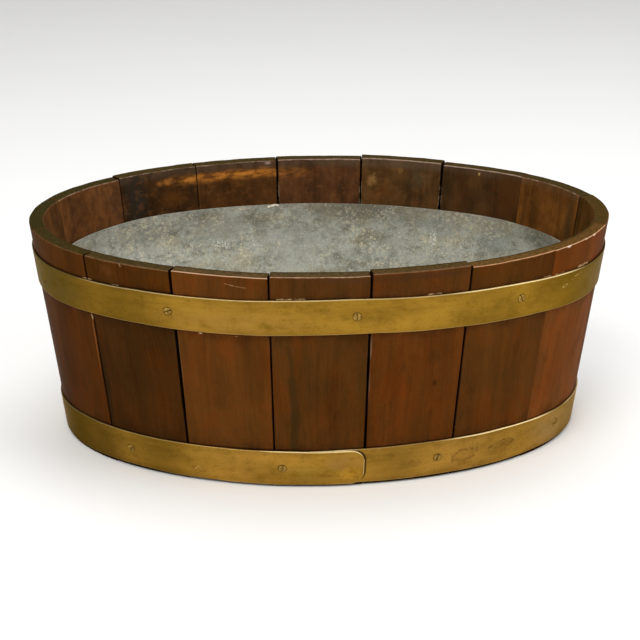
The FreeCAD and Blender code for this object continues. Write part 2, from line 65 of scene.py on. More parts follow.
# How strongly a painted pale highlight lies along the outer and inner arris of the rim.
ARRIS = [(0.50, 0.1), (0.56, 0.1), (0.86, 0.1), (0.66, 0.1), (0.60, 0.1), (0.74, 0.1), (0.72, 0.2), (0.40, 0.3),
         (0.30, 0.46), (0.30, 0.78), (0.30, 0.72), (0.30, 0.66), (0.30, 0.46), (0.30, 0.46), (0.25, 0.50), (0.15, 0.28)]
# Breadth, unevenness and tone of that painted highlight outside; a broad one is a painted soft sheen.
ARRIS_HIGHLIGHT = {1: (1.7, 0.5, (112, 82, 52)), 2: (1.6, 0.6, (122, 92, 64)), 3: (0.95, 0.25, (200, 160, 128)),
          4: (1.15, 0.75, (172, 136, 108)), 5: (1.75, 0.5, (118, 88, 64)), 6: (1.2, 0.55, (186, 138, 102)),
          7: (0.95, 0.7, (214, 170, 132))}
UPPER_SCREWS = [
    (238.6, 192.7, 25.0), (274.9, 194.6, 98.0), (309.5, 193.1, 118.0),
    (353.3, 185.9, 150.0), (40.2, 190.8, 80.0), (76.3, 192.6, 12.0),
    (109.4, 192.9, 99.0), (146.8, 192.7, 47.0), (197.4, 188.0, 135.0),
]
LOWER_SCREWS = [
    (224.2, 23.2, 40.0), (260.4, 22.6, 95.0), (293.4, 24.4, 70.0),
    (331.0, 24.6, 10.0), (21.6, 23.5, 122.0), (62.3, 23.5, 55.0),
    (95.9, 23.0, 160.0), (130.9, 23.2, 20.0), (176.7, 23.0, 84.0),
]


def semi(z):
    k = z / H
    return A_FOOT + (A_RIM - A_FOOT) * k, B_FOOT + (B_RIM - B_FOOT) * k


def wall(theta, z, off):
    """Points of the splayed oval wall, moved level along its normal by off."""
    a, b = semi(z)
    c, s = np.cos(theta), np.sin(theta)
    nx, ny = c / a, s / b
    n = np.hypot(nx, ny)
    return np.stack([a * c + off * nx / n, b * s + off * ny / n, z + 0 * theta], -1)


def speed(theta, z):
    """Length of oval per radian."""
    a, b = semi(z)
    return np.hypot(a * np.sin(theta), b * np.cos(theta))


def normal_at(theta, z):
    a, b = semi(z)
    da, db = (A_RIM - A_FOOT) / H, (B_RIM - B_FOOT) / H
    v = np.array([b * math.cos(theta), a * math.sin(theta),
                  -(a * db * math.sin(theta) ** 2 + b * da * math.cos(theta) ** 2)])
    return v / np.linalg.norm(v)


_TAB = np.random.RandomState(7).rand(1 << 16) * 2 - 1


def vnoise(p, seed=0):
    """Smooth value noise of points (N,3), about -1 to 1."""
    p = np.asarray(p, float)
    i = np.floor(p).astype(np.int64)
    f = p - i
    f = f * f * f * (f * (f * 6 - 15) + 10)
    out = 0
    for dx in (0, 1):
        for dy in (0, 1):
            for dz in (0, 1):
                h = ((i[..., 0] + dx) * 73856093) ^ ((i[..., 1] + dy) * 19349663) ^ ((i[..., 2] + dz) * 83492791) ^ (seed * 2654435761)
                w = (f[..., 0] if dx else 1 - f[..., 0]) * (f[..., 1] if dy else 1 - f[..., 1]) * (f[..., 2] if dz else 1 - f[..., 2])
                out = out + w * _TAB[(h ^ (h >> 13)) & 0xFFFF]
    return out


def fbm(p, seed=0, octaves=3):
    p = np.asarray(p, float)
    out, amp, tot = 0, 1.0, 0
    for o in range(octaves):
        out = out + amp * vnoise(p * 2 ** o + 17.3 * o, seed + o)
        tot += amp
        amp *= 0.5
    return out / tot


def smooth(e0, e1, x):
    t = np.clip((x - e0) / (e1 - e0), 0, 1)
    return t * t * (3 - 2 * t)


def new_object(name, verts_mm, faces, material, smooth_shade=True):
    me = bpy.data.meshes.new(name)
    v = (np.asarray(verts_mm) * 0.001).astype(np.float32)
    f = np.asarray(faces, np.int32)
    n = f.shape[1]
    me.vertices.add(len(v))
    me.vertices.foreach_set("co", v.ravel())
    me.loops.add(f.size)
    me.loops.foreach_set("vertex_index", f.ravel())
    me.polygons.add(len(f))
    me.polygons.foreach_set("loop_start", np.arange(0, f.size, n, dtype=np.int32))
    me.polygons.foreach_set("use_smooth", np.full(len(f), smooth_shade))
    me.update(calc_edges=True)
    me.validate()
    ob = bpy.data.objects.new(name, me)
    bpy.context.scene.collection.objects.link(ob)
    me.materials.append(material)
    return ob


def attr(ob, name, values):
    me = ob.data
    values = np.asarray(values, np.float32)
    if values.ndim == 2:
        a = me.attributes.new(name, "FLOAT_VECTOR", "POINT")
        a.data.foreach_set("vector", values.ravel())
    else:
        a = me.attributes.new(name, "FLOAT", "POINT")
        a.data.foreach_set("value", values)


def box_grid(xs, ys, zs):
    """Surface grid of a box: points' (i, j, k), quads, and each quad's side."""
    nx, ny, nz = len(xs), len(ys), len(zs)
    idx = -np.ones((nx, ny, nz), np.int64)
    m = np.zeros((nx, ny, nz), bool)
    m[0], m[-1] = True, True
    m[:, 0], m[:, -1] = True, True
    m[:, :, 0], m[:, :, -1] = True, True
    ijk = np.argwhere(m)
    idx[m] = np.arange(len(ijk))
    quads, side = [], []

    def face(g, flip, s):
        q = np.stack([g[:-1, :-1], g[1:, :-1], g[1:, 1:], g[:-1, 1:]], -1).reshape(-1, 4)
        if flip:
            q = q[:, ::-1]
        quads.append(q)
        side.append(np.full(len(q), s))

    face(idx[0, :, :], True, 0)      # x low
    face(idx[-1, :, :], False, 1)    # x high
    face(idx[:, 0, :], False, 2)     # y low
    face(idx[:, -1, :], True, 3)     # y high
    face(idx[:, :, 0], True, 4)      # z low
    face(idx[:, :, -1], False, 5)    # z high
    return ijk, np.concatenate(quads), np.concatenate(side)


def banded(length, band, step):
    """Sample places along an edge: fine bands at both ends, even steps between."""
    n = max(2, int(round((length - 2 * band[-1]) / step)))
    mid = np.linspace(band[-1], length - band[-1], n + 1)
    return np.concatenate([band[:-1], mid, length - np.array(band[:-1])[::-1]])


# ----------------------------------------------------------------- materials
def srgb(r, g, b):
    def f(c):
        c = c / 255.0
        return c / 12.92 if c <= 0.04045 else ((c + 0.055) / 1.055) ** 2.4
    return (f(r), f(g), f(b), 1.0)


class Nodes:
    """Small helper to write node trees in order."""

    def __init__(self, name):
        self.mat = bpy.data.materials.new(name)
        self.mat.use_nodes = True
        self.t = self.mat.node_tree
        self.t.nodes.clear()
        self.out = self.t.nodes.new("ShaderNodeOutputMaterial")
        self.bsdf = self.t.nodes.new("ShaderNodeBsdfPrincipled")
        self.t.links.new(self.bsdf.outputs[0], self.out.inputs[0])

    def _put(self, socket, v):
        if v is None:
            return
        if isinstance(v, bpy.types.NodeSocket):
            self.t.links.new(v, socket)
        else:
            if hasattr(socket, "default_value") and hasattr(socket.default_value, "__len__"):
                n = len(socket.default_value)
                if not hasattr(v, "__len__"):
                    v = (v,) * n
                v = tuple(v)[:n] if len(v) >= n else tuple(v) + (1.0,) * (n - len(v))
            socket.default_value = v

    def attribute(self, name):
        n = self.t.nodes.new("ShaderNodeAttribute")
        n.attribute_type = "GEOMETRY"
        n.attribute_name = name
        return n

    def vec(self, name):
        return self.attribute(name).outputs["Vector"]

    def fac(self, name):
        return self.attribute(name).outputs["Fac"]

    def mapping(self, v, scale=(1, 1, 1), loc=(0, 0, 0), rot=(0, 0, 0)):
        n = self.t.nodes.new("ShaderNodeMapping")
        self._put(n.inputs["Vector"], v)
        n.inputs["Location"].default_value = loc
        n.inputs["Rotation"].default_value = rot
        n.inputs["Scale"].default_value = scale
        return n.outputs[0]

    def noise(self, v, scale=1.0, detail=3.0, rough=0.5, distort=0.0, lac=2.0):
        n = self.t.nodes.new("ShaderNodeTexNoise")
        n.noise_dimensions = "3D"
        self._put(n.inputs["Vector"], v)
        n.inputs["Scale"].default_value = scale
        n.inputs["Detail"].default_value = detail
        n.inputs["Roughness"].default_value = rough
        n.inputs["Lacunarity"].default_value = lac
        n.inputs["Distortion"].default_value = distort
        return n.outputs["Fac"]

    def voronoi(self, v, scale=1.0, feature="F1", out="Distance", rand=1.0):
        n = self.t.nodes.new("ShaderNodeTexVoronoi")
        n.feature = feature
        self._put(n.inputs["Vector"], v)
        n.inputs["Scale"].default_value = scale
        n.inputs["Randomness"].default_value = rand
        return n.outputs[out]

    def ramp(self, f, lo, hi, a=0.0, b=1.0, clamp=True, interp="SMOOTHSTEP"):
        n = self.t.nodes.new("ShaderNodeMapRange")
        n.interpolation_type = interp
        n.clamp = clamp
        self._put(n.inputs["Value"], f)
        for k, x in zip(("From Min", "From Max", "To Min", "To Max"), (lo, hi, a, b)):
            self._put(n.inputs[k], x)
        return n.outputs["Result"]

    def math(self, op, a, b=0.0, c=None, clamp=False):
        n = self.t.nodes.new("ShaderNodeMath")
        n.operation = op
        n.use_clamp = clamp
        self._put(n.inputs[0], a)
        self._put(n.inputs[1], b)
        if c is not None:
            self._put(n.inputs[2], c)
        return n.outputs[0]

    def mul(self, *v):
        out = v[0]
        for x in v[1:]:
            out = self.math("MULTIPLY", out, x)
        return out

    def add(self, *v):
        out = v[0]
        for x in v[1:]:
            out = self.math("ADD", out, x)
        return out

    def mix(self, f, a, b, blend="MIX"):
        n = self.t.nodes.new("ShaderNodeMix")
        n.data_type = "RGBA"
        n.blend_type = blend
        n.clamp_factor = True
        self._put(n.inputs[0], f)
        self._put(n.inputs[6], a)
        self._put(n.inputs[7], b)
        return n.outputs[2]

    def split(self, v):
        n = self.t.nodes.new("ShaderNodeSeparateXYZ")
        self._put(n.inputs[0], v)
        return n.outputs

    def combine(self, x, y, z):
        n = self.t.nodes.new("ShaderNodeCombineXYZ")
        for s, v in zip(n.inputs, (x, y, z)):
            self._put(s, v)
        return n.outputs[0]

    def bump(self, height, strength, distance, normal=None):
        n = self.t.nodes.new("ShaderNodeBump")
        n.inputs["Strength"].default_value = strength
        n.inputs["Distance"].default_value = distance
        self._put(n.inputs["Height"], height)
        if normal is not None:
            self._put(n.inputs["Normal"], normal)
        return n.outputs[0]

    def set(self, **kw):
        for k, v in kw.items():
            self._put(self.bsdf.inputs[k.replace("_", " ")], v)
        return self.mat


def stroke(N, x, z, x0, z0, x1, z1, w):
    """1 along a straight line of half width w, fading to 0, in local millimetres."""
    dx, dz = x1 - x0, z1 - z0
    ax, az = N.math("SUBTRACT", x, x0), N.math("SUBTRACT", z, z0)
    t = N.math("DIVIDE", N.add(N.mul(ax, dx), N.mul(az, dz)), dx * dx + dz * dz, clamp=True)
    px, pz = N.math("SUBTRACT", ax, N.mul(t, dx)), N.math("SUBTRACT", az, N.mul(t, dz))
    return N.ramp(N.math("SQRT", N.add(N.mul(px, px), N.mul(pz, pz))), w * 0.4, w, 1.0, 0.0)


def spot(N, x, z, cx, cz, rx, rz, soft=0.5):
    """1 inside an upright oval patch, 0 outside, in local millimetres."""
    dx = N.math("DIVIDE", N.math("SUBTRACT", x, cx), rx)
    dz = N.math("DIVIDE", N.math("SUBTRACT", z, cz), rz)
    d = N.math("SQRT", N.add(N.mul(dx, dx), N.mul(dz, dz)))
    return N.ramp(d, 1.0 - soft, 1.0 + soft, 1.0, 0.0)


def grain_sway(N, loc):
    return N.noise(N.mapping(loc, (0.03, 0.03, 0.03), (4, 1, 7)), 1.0, 3.0, 0.6)


# Mean tone of each stave as it looks: outside, inside.
TONES = {
    1: ((76, 42, 13), (70, 44, 21)), 2: ((67, 39, 13), (68, 43, 21)),
    3: ((92, 54, 20), (72, 45, 22)), 4: ((82, 49, 18), (68, 43, 21)),
    5: ((91, 50, 17), (74, 46, 22)), 6: ((85, 50, 18), (70, 44, 21)),
    7: ((106, 60, 23), (74, 46, 20)), 8: ((100, 56, 22), (70, 45, 18)),
    9: ((88, 49, 18), (89, 55, 22)), 10: ((78, 46, 17), (62, 42, 22)),
    11: ((86, 49, 18), (70, 48, 25)), 12: ((80, 46, 17), (73, 46, 26)),
    13: ((90, 51, 19), (66, 41, 19)), 14: ((78, 45, 17), (48, 31, 15)),
    15: ((86, 49, 18), (85, 54, 29)), 16: ((79, 44, 15), (80, 52, 27)),
}
OUT_GAIN = 0.88
IN_GAIN = 1.26


def scaled(c, k, hue=(1.0, 1.0, 1.0)):
    r = srgb(*c)
    return (r[0] * k * hue[0], r[1] * k * hue[1], r[2] * k * hue[2], 1.0)


def wood(number, width):
    """Waxed mahogany. Reads the stave's own coordinates in millimetres:
    x across, y inwards from the face, z up from the floor."""
    N = Nodes("mahogany_%02d" % number)
    om, im = TONES[number]
    loc = N.vec("grain")
    x, y, z = N.split(loc)[0:3]
    arris_highlight = N.fac("arris_highlight")
    endg = N.fac("endgrain")
    side = N.fac("jointface")
    inner = N.fac("inside")
    # heights above the upper hoop's top, its foot, and the lower hoop's top
    h_up, h_under, h_low = N.split(N.vec("hoops"))[0:3]
    outer = N.math("SUBTRACT", 1.0, inner)
    off = (number * 37.1, number * 11.7, number * 53.9)
    # slow wander of the grain
    wob = N.noise(N.mapping(loc, (0.02, 0.02, 0.006), off), 1.0, 2.0)
    gx = N.add(x, N.mul(N.math("SUBTRACT", wob, 0.5), 26.0))
    g = N.combine(gx, y, z)
    broad = N.noise(N.mapping(g, (0.045, 0.05, 0.005), off), 1.0, 2.0, 0.55)
    ribbon = N.noise(N.mapping(g, (0.20, 0.2, 0.011), off), 1.0, 3.0, 0.55)
    streak = N.noise(N.mapping(g, (0.85, 0.7, 0.022), off), 1.0, 3.0, 0.6)
    fine = N.noise(N.mapping(g, (2.6, 2.2, 0.06), off), 1.0, 2.0, 0.6)
    pores = N.noise(N.mapping(g, (4.2, 3.6, 0.16), off), 1.0, 1.0, 0.5)
    cloud = N.noise(N.mapping(loc, (0.016, 0.03, 0.013), off), 1.0, 3.0, 0.6)
    fleck = N.noise(N.mapping(loc, (0.55, 0.5, 0.34), off), 1.0, 4.0, 0.68)
    tone = N.add(N.mul(broad, 0.30), N.mul(ribbon, 0.15), N.mul(streak, 0.17), N.mul(fine, 0.18), N.mul(cloud, 0.22), N.mul(fleck, 0.13))
    tone = N.ramp(tone, 0.415, 0.735)
    outside_c = N.mix(tone, scaled(om, OUT_GAIN * 0.70, (0.96, 1.0, 1.0)), scaled(om, OUT_GAIN * 1.30, (1.04, 1.0, 0.96)))
    # redder and greyer patches
    flush = N.noise(N.mapping(loc, (0.040, 0.05, 0.020), (off[1], off[2], off[0])), 1.0, 4.0, 0.62)
    outside_c = N.mix(N.mul(N.ramp(flush, 0.50, 0.66), 0.85), outside_c, N.mix(1.0, outside_c, (1.17, 0.97, 0.84, 1.0), "MULTIPLY"))
    outside_c = N.mix(N.mul(N.ramp(flush, 0.50, 0.34), 0.85), outside_c, N.mix(1.0, outside_c, (0.87, 0.97, 1.04, 1.0), "MULTIPLY"))
    # inside, an uneven old varnish: soft clouds over the grain
    haze = N.noise(N.mapping(loc, (0.045, 0.05, 0.034), (off[2], off[0], off[1])), 1.0, 4.0, 0.62)
    tone_in = N.ramp(N.add(N.mul(broad, 0.20), N.mul(ribbon, 0.16), N.mul(streak, 0.12), N.mul(fine, 0.06), N.mul(haze, 0.46)), 0.38, 0.64)
    inside_c = N.mix(tone_in, scaled(im, IN_GAIN * 0.60, (0.96, 1.0, 1.06)), scaled(im, IN_GAIN * 1.44, (1.04, 1.0, 0.95)))
    col = N.mix(inner, outside_c, inside_c)
    # open pores, short dark dashes
    pore = N.ramp(pores, 0.63, 0.72)
    col = N.mix(N.mul(pore, 0.40), col, srgb(26, 13, 5))
    # old grime in noisy blotches, plus painted shade close to the hoops and the foot
    grime = N.noise(N.mapping(loc, (0.05, 0.05, 0.03), off), 1.0, 4.0, 0.65)
    near = N.add(N.ramp(h_low, 16.0, 0.0), N.ramp(N.math("ABSOLUTE", h_under), 14.0, 2.0), N.mul(N.ramp(h_up, 7.0, 0.0), N.ramp(h_up, -8.0, 0.0)))
    dirt_and_shade = N.mul(N.ramp(N.add(grime, N.mul(near, 0.20)), 0.52, 0.84), outer)
    col = N.mix(N.mul(dirt_and_shade, 0.42), col, srgb(36, 21, 8))
    # painted shadow lines tight against the hoops, and painted shade on the stave's foot
    line = N.add(N.mul(N.ramp(h_up, 2.8 if number <= 2 else 1.6, 0.5), N.ramp(h_up, -4.0, 0.0), N.ramp(grime, 0.30, 0.70, 0.5 if number <= 2 else 0.1, 0.9 if number <= 2 else 0.7)), N.mul(N.ramp(h_low, 2.2, 0.4), N.ramp(h_low, -4.0, 0.0), 0.7), N.ramp(z, 7.0, 2.5))
    col = N.mix(N.mul(N.math("MINIMUM", line, 1.0), outer, 0.80), col, srgb(24, 14, 6))
    if number == 4:
        sx = N.add(x, N.mul(N.math("SUBTRACT", grain_sway(N, loc), 0.5), 9.0))
        m = N.math("MAXIMUM", N.mul(stroke(N, sx, z, 18.0, 160.0, 20.5, 124.0, 3.6), 0.7), N.math("MAXIMUM", stroke(N, sx, z, 20.8, 124.0, 23.4, 88.0, 6.0), stroke(N, sx, z, 23.4, 88.0, 22.4, 46.0, 6.0)))
        col = N.mix(N.mul(m, outer, N.ramp(streak, 0.24, 0.54, 0.35, 1.0), 0.62), col, srgb(45, 36, 16))
    if number == 5:
        m = spot(N, x, z, width * 0.72, 112.5, 2.2, 3.2, 0.8)
        col = N.mix(N.mul(m, outer, 0.6), col, srgb(40, 22, 8))
    if number in TOP_GAIN:
        k = TOP_GAIN[number]
        col = N.mix(N.mul(N.ramp(h_up, -1.0, 2.0), outer), col, N.mix(1.0, col, (k[0], k[1], k[2], 1.0), "MULTIPLY"))
    # painted golden reflection band inside the rim, darker just above it
    if number in (12, 13, 14):
        amt = {12: 0.34, 13: 0.71, 14: 0.66}[number]
        sway = N.mul(N.math("SUBTRACT", N.noise(N.mapping(loc, (0.03, 0.02, 0.02), off), 1.0, 2.0), 0.5), 7.0)
        far = N.math("ABSOLUTE", N.math("SUBTRACT", z, N.add(223.0, sway)))
        band = N.ramp(far, 0.0, 9.0, 1.0, 0.0)
        glint_mottle = N.ramp(N.noise(N.mapping(loc, (0.075, 0.05, 0.21), off), 1.0, 4.0, 0.60), 0.32, 0.66)
        if number == 14:
            band = N.mul(band, N.ramp(x, width * 0.44, width * 0.06, 0.0, 1.0))
        if number == 12:
            band = N.mul(band, N.ramp(x, width * 0.40, width * 0.95))
        top = N.mul(N.ramp(z, 226.0, 231.0), inner)
        col = N.mix(N.mul(top, 0.45), col, srgb(40, 26, 18))
        col = N.mix(N.mul(band, N.add(0.42, N.mul(glint_mottle, 0.58)), inner, amt), col, N.mix(glint_mottle, srgb(126, 74, 30), srgb(212, 136, 54)))
    if 9 <= number <= 14:
        under = N.mul(N.ramp(z, 225.0, 233.0), inner, N.ramp(haze, 0.30, 0.60, 0.35, 1.0))
        col = N.mix(N.mul(under, {11: 0.75, 12: 0.55, 13: 0.55}.get(number, 0.40)), col, scaled((86, 70, 54), IN_GAIN * 0.92))
    ruff = N.noise(N.mapping(loc, (0.16, 0.16, 0.16), (off[1], off[2], off[0])), 1.0, 4.0, 0.66)
    for cx, cz, rx, rz, c, amt in MARKS.get(number, ()):
        fray = N.mul(N.math("SUBTRACT", ruff, 0.5), 3.2 * min(rx, rz))
        m = spot(N, N.add(x, fray), N.math("SUBTRACT", z, fray), cx * width, cz, rx, rz, 0.75)
        col = N.mix(N.mul(m, amt, outer if c[3] else inner), col, srgb(*c[:3]))
    if number == 3:
        m = N.math("MAXIMUM", stroke(N, x, z, width * 0.572, 227.6, width * 0.66, 225.6, 0.62), N.mul(stroke(N, x, z, width * 0.68, 225.2, width * 0.78, 224.0, 0.5), 0.7))
        col = N.mix(N.mul(m, outer, N.ramp(ruff, 0.30, 0.50), 0.62), col, srgb(182, 138, 96))
    if number == 2:
        m = stroke(N, x, z, width * 0.462, 235.4, width * 0.478, 232.6, 0.62)
        col = N.mix(N.mul(m, outer, 0.6), col, srgb(190, 158, 122))
    if number in (11, 12, 13, 14):
        rub2 = N.ramp(N.noise(N.mapping(loc, (0.09, 0.05, 0.12), (off[1], off[0], 3.0)), 1.0, 4.0, 0.65), 0.50, 0.66)
        col = N.mix(N.mul(rub2, inner, 0.18), col, srgb(134, 86, 46))
    if number in (15, 16):
        spotty = N.noise(N.mapping(loc, (0.085, 0.09, 0.07), (off[0], 4.0, off[1])), 1.0, 5.0, 0.68)
        col = N.mix(N.mul(N.ramp(spotty, 0.50, 0.64), inner, 0.42), col, srgb(58, 38, 24))
        col = N.mix(N.mul(N.ramp(spotty, 0.48, 0.36), inner, 0.34), col, srgb(122, 74, 38))
    # faces of the joints stay dark with a few pale crumbs of old polish
    crumb = N.ramp(N.noise(N.mapping(loc, (0.3, 0.3, 0.30), off), 1.0, 3.0, 0.7), 0.66, 0.72)
    joint_c = N.mix(N.mul(crumb, 0.6 if number <= 7 else 0.12), srgb(20, 12, 6), srgb(150, 130, 104))
    if number in (10, 11, 12):
        bits = N.mul(N.ramp(N.noise(N.mapping(loc, (0.02, 0.05, 0.11), (3, 8, number)), 1.0, 3.0, 0.6), 0.44, 0.56), N.ramp(z, 214.0, 206.0), inner)
        joint_c = N.mix(N.mul(bits, 0.85), joint_c, srgb(176, 160, 128))
    col = N.mix(N.mul(side, 0.92), col, joint_c)
    # end grain, olive brown
    ring = N.noise(N.mapping(loc, (0.30, 0.9, 0.3), off), 1.0, 4.0, 0.6)
    lo_e, hi_e = ENDS.get(number, ((40, 32, 12), (75, 58, 24)))
    end_c = N.mix(N.ramp(ring, 0.32, 0.70), srgb(*lo_e), srgb(*hi_e))
    end_c = N.mix(N.mul(N.ramp(pores, 0.60, 0.70), 0.4), end_c, srgb(18, 14, 5))
    if number <= 7:
        end_c = N.mix(N.mul(N.ramp(y, T - 5.0, T - 1.5), 0.75), end_c, srgb(48, 40, 15))
    col = N.mix(endg, col, end_c)
    # painted highlights along the rim arrises, pale lines broken up by noise
    chip = N.noise(N.mapping(loc, (0.16, 0.3, 0.16), off), 1.0, 4.0, 0.65)
    _, uneven, highlight_tone = ARRIS_HIGHLIGHT.get(number, (1.1, 1.1, (180, 136, 104)))
    arris_glint = N.ramp(N.add(arris_highlight, N.mul(N.math("SUBTRACT", chip, 0.5), N.add(uneven, N.mul(inner, 1.0 - uneven)))), 0.24, 0.72)
    arris_glint = N.mul(arris_glint, N.ramp(arris_highlight, 0.04, 0.16))
    col = N.mix(N.mul(arris_glint, 0.84), col, N.mix(inner, srgb(*highlight_tone), srgb(150, 127, 112)))
    # dried polish caught above the upper hoop
    for cx, half, amt, tall in POLISH.get(number, ()):
        band = N.mul(N.ramp(h_up, tall + 0.6, tall), N.ramp(h_up, 0.0, 0.5), N.ramp(N.math("ABSOLUTE", N.math("SUBTRACT", x, cx * width)), half + 2.0, half))
        grit = N.ramp(N.noise(N.mapping(loc, (0.26, 0.5, 0.7), off), 1.0, 4.0, 0.7), 0.42, 0.58)
        col = N.mix(N.mul(band, grit, outer, amt), col, srgb(200, 168, 120))
    # hairline scratches
    scr = N.noise(N.mapping(loc, (0.10, 0.1, 1.7), off, (0, 0.5, 0)), 1.0, 2.0, 0.5)
    scratch = N.mul(N.ramp(scr, 0.735, 0.76), N.ramp(cloud, 0.50, 0.62))
    col = N.mix(N.mul(scratch, 0.30), col, srgb(140, 92, 56))
    rough = N.add(0.34, N.mul(grime, 0.18), N.mul(fine, 0.08), N.mul(arris_glint, 0.12), N.mul(side, 0.3))
    hgt = N.add(N.mul(fine, 0.5), N.mul(streak, 0.5), N.mul(pore, -0.9), N.mul(scratch, -0.6))
    nrm = N.bump(hgt, 0.22, 0.0004)
    m = N.set(Base_Color=col, Roughness=rough, Normal=nrm)
    N.bsdf.inputs["IOR"].default_value = 1.15
    N.bsdf.inputs["Specular IOR Level"].default_value = 0.05
    N.bsdf.inputs["Specular Tint"].default_value = (1.0, 0.62, 0.34, 1.0)
    return m


# End grain (dark, light), the painted arris highlight (set in ARRIS),
# and dried polish above the upper hoop as (place across, half length, amount).
ENDS = {
    1: ((38, 31, 10), (67, 53, 20)), 2: ((42, 33, 13), (77, 60, 30)),
    3: ((50, 39, 19), (98, 75, 46)), 4: ((47, 37, 18), (92, 71, 43)),
    5: ((46, 35, 15), (92, 70, 37)), 6: ((60, 43, 18), (110, 79, 38)),
    7: ((60, 41, 15), (108, 75, 34)), 8: ((46, 35, 12), (84, 62, 23)),
    16: ((32, 29, 8), (60, 51, 18)), 15: ((33, 29, 8), (64, 53, 19)),
}
POLISH = {
    1: ((0.98, 2.0, 0.7, 1.0),), 2: ((0.02, 2.5, 0.75, 1.3), (0.38, 3.5, 0.6, 0.9)), 4: ((0.21, 13.0, 0.70, 1.2),),
    5: ((0.63, 6.0, 0.7, 1.3),), 6: ((0.93, 5.0, 0.6, 1.2),), 7: ((0.12, 6.0, 0.55, 1.0), (0.50, 9.0, 0.9, 2.4)),
    11: ((0.4, 8.0, 0.6, 1.2),), 14: ((0.7, 5.0, 0.6, 1.2),),
}
# Tone of the strip over the upper hoop against the rest of the stave.
TOP_GAIN = {1: (1.16, 1.20, 1.0), 2: (1.28, 1.24, 1.0), 4: (1.06, 1.08, 1.2), 5: (0.84, 0.96, 1.15), 6: (0.82, 0.84, 0.75), 7: (0.90, 0.80, 0.6)}
# Single marks: place across, height, half sizes, colour (last: 1 outside), amount. The three pale spots on stave 7's
# rim are painted highlights.
MARKS = {
    1: ((0.986, 146.0, 1.0, 32.0, (142, 84, 40, 1), 0.55), (0.992, 168.0, 1.1, 2.4, (190, 160, 112, 1), 0.70)),
    3: ((0.006, 132.0, 0.8, 34.0, (112, 80, 48, 1), 0.50), (0.27, 171.3, 1.7, 0.55, (222, 182, 136, 1), 0.70),
        (0.66, 170.8, 1.3, 0.45, (176, 126, 84, 1), 0.50)),
    2: ((0.30, 226.0, 6.0, 5.0, (104, 62, 30, 1), 0.35), (0.03, 88.0, 4.0, 42.0, (34, 26, 11, 1), 0.62)),
    4: ((0.75, 233.0, 26.0, 3.0, (72, 46, 26, 1), 0.55),),
    5: ((0.45, 233.2, 46.0, 3.2, (66, 42, 22, 1), 0.60), (0.006, 158.0, 0.6, 10.0, (160, 136, 112, 1), 0.42),
        (0.006, 118.0, 0.6, 16.0, (134, 102, 76, 1), 0.40)),
    # stave 7: three painted highlights (glints) on the top arris
    7: ((0.185, 236.0, 2.6, 1.3, (240, 222, 206, 1), 0.9), (0.48, 236.0, 2.2, 1.3, (236, 214, 196, 1), 0.9),
        (0.635, 236.0, 2.6, 1.2, (236, 214, 196, 1), 0.8)),
    9: ((0.15, 206.0, 7.0, 26.0, (58, 46, 30, 0), 0.6),),
    10: ((0.57, 230.4, 1.3, 1.2, (196, 166, 96, 0), 0.85), (0.72, 212.0, 13.0, 16.0, (84, 50, 20, 0), 0.25),
         (0.15, 212.0, 20.0, 30.0, (82, 48, 20, 0), 0.62)),
    11: ((0.87, 213.5, 5.0, 5.5, (150, 112, 62, 0), 0.60), (0.52, 226.0, 3.0, 2.6, (136, 96, 50, 0), 0.45),
         (0.30, 219.0, 9.0, 9.0, (74, 66, 46, 0), 0.55), (0.72, 200.0, 10.0, 8.0, (96, 54, 22, 0), 0.5)),
    13: ((0.55, 207.0, 20.0, 8.0, (48, 28, 13, 0), 0.30), (0.10, 234.6, 3.0, 1.4, (176, 150, 138, 0), 0.7)),
    14: ((0.80, 210.0, 13.0, 32.0, (46, 41, 33, 0), 0.78), (0.36, 223.2, 4.6, 3.4, (176, 112, 52, 0), 0.6),
         (0.46, 222.6, 3.6, 3.0, (156, 98, 48, 0), 0.6), (0.30, 204.0, 14.0, 9.0, (104, 62, 24, 0), 0.45)),
    15: ((0.04, 208.0, 9.0, 26.0, (62, 42, 30, 0), 0.60), (0.45, 206.0, 22.0, 14.0, (112, 68, 34, 0), 0.35)),
    16: ((0.45, 214.0, 16.0, 18.0, (88, 54, 34, 0), 0.45),),
}


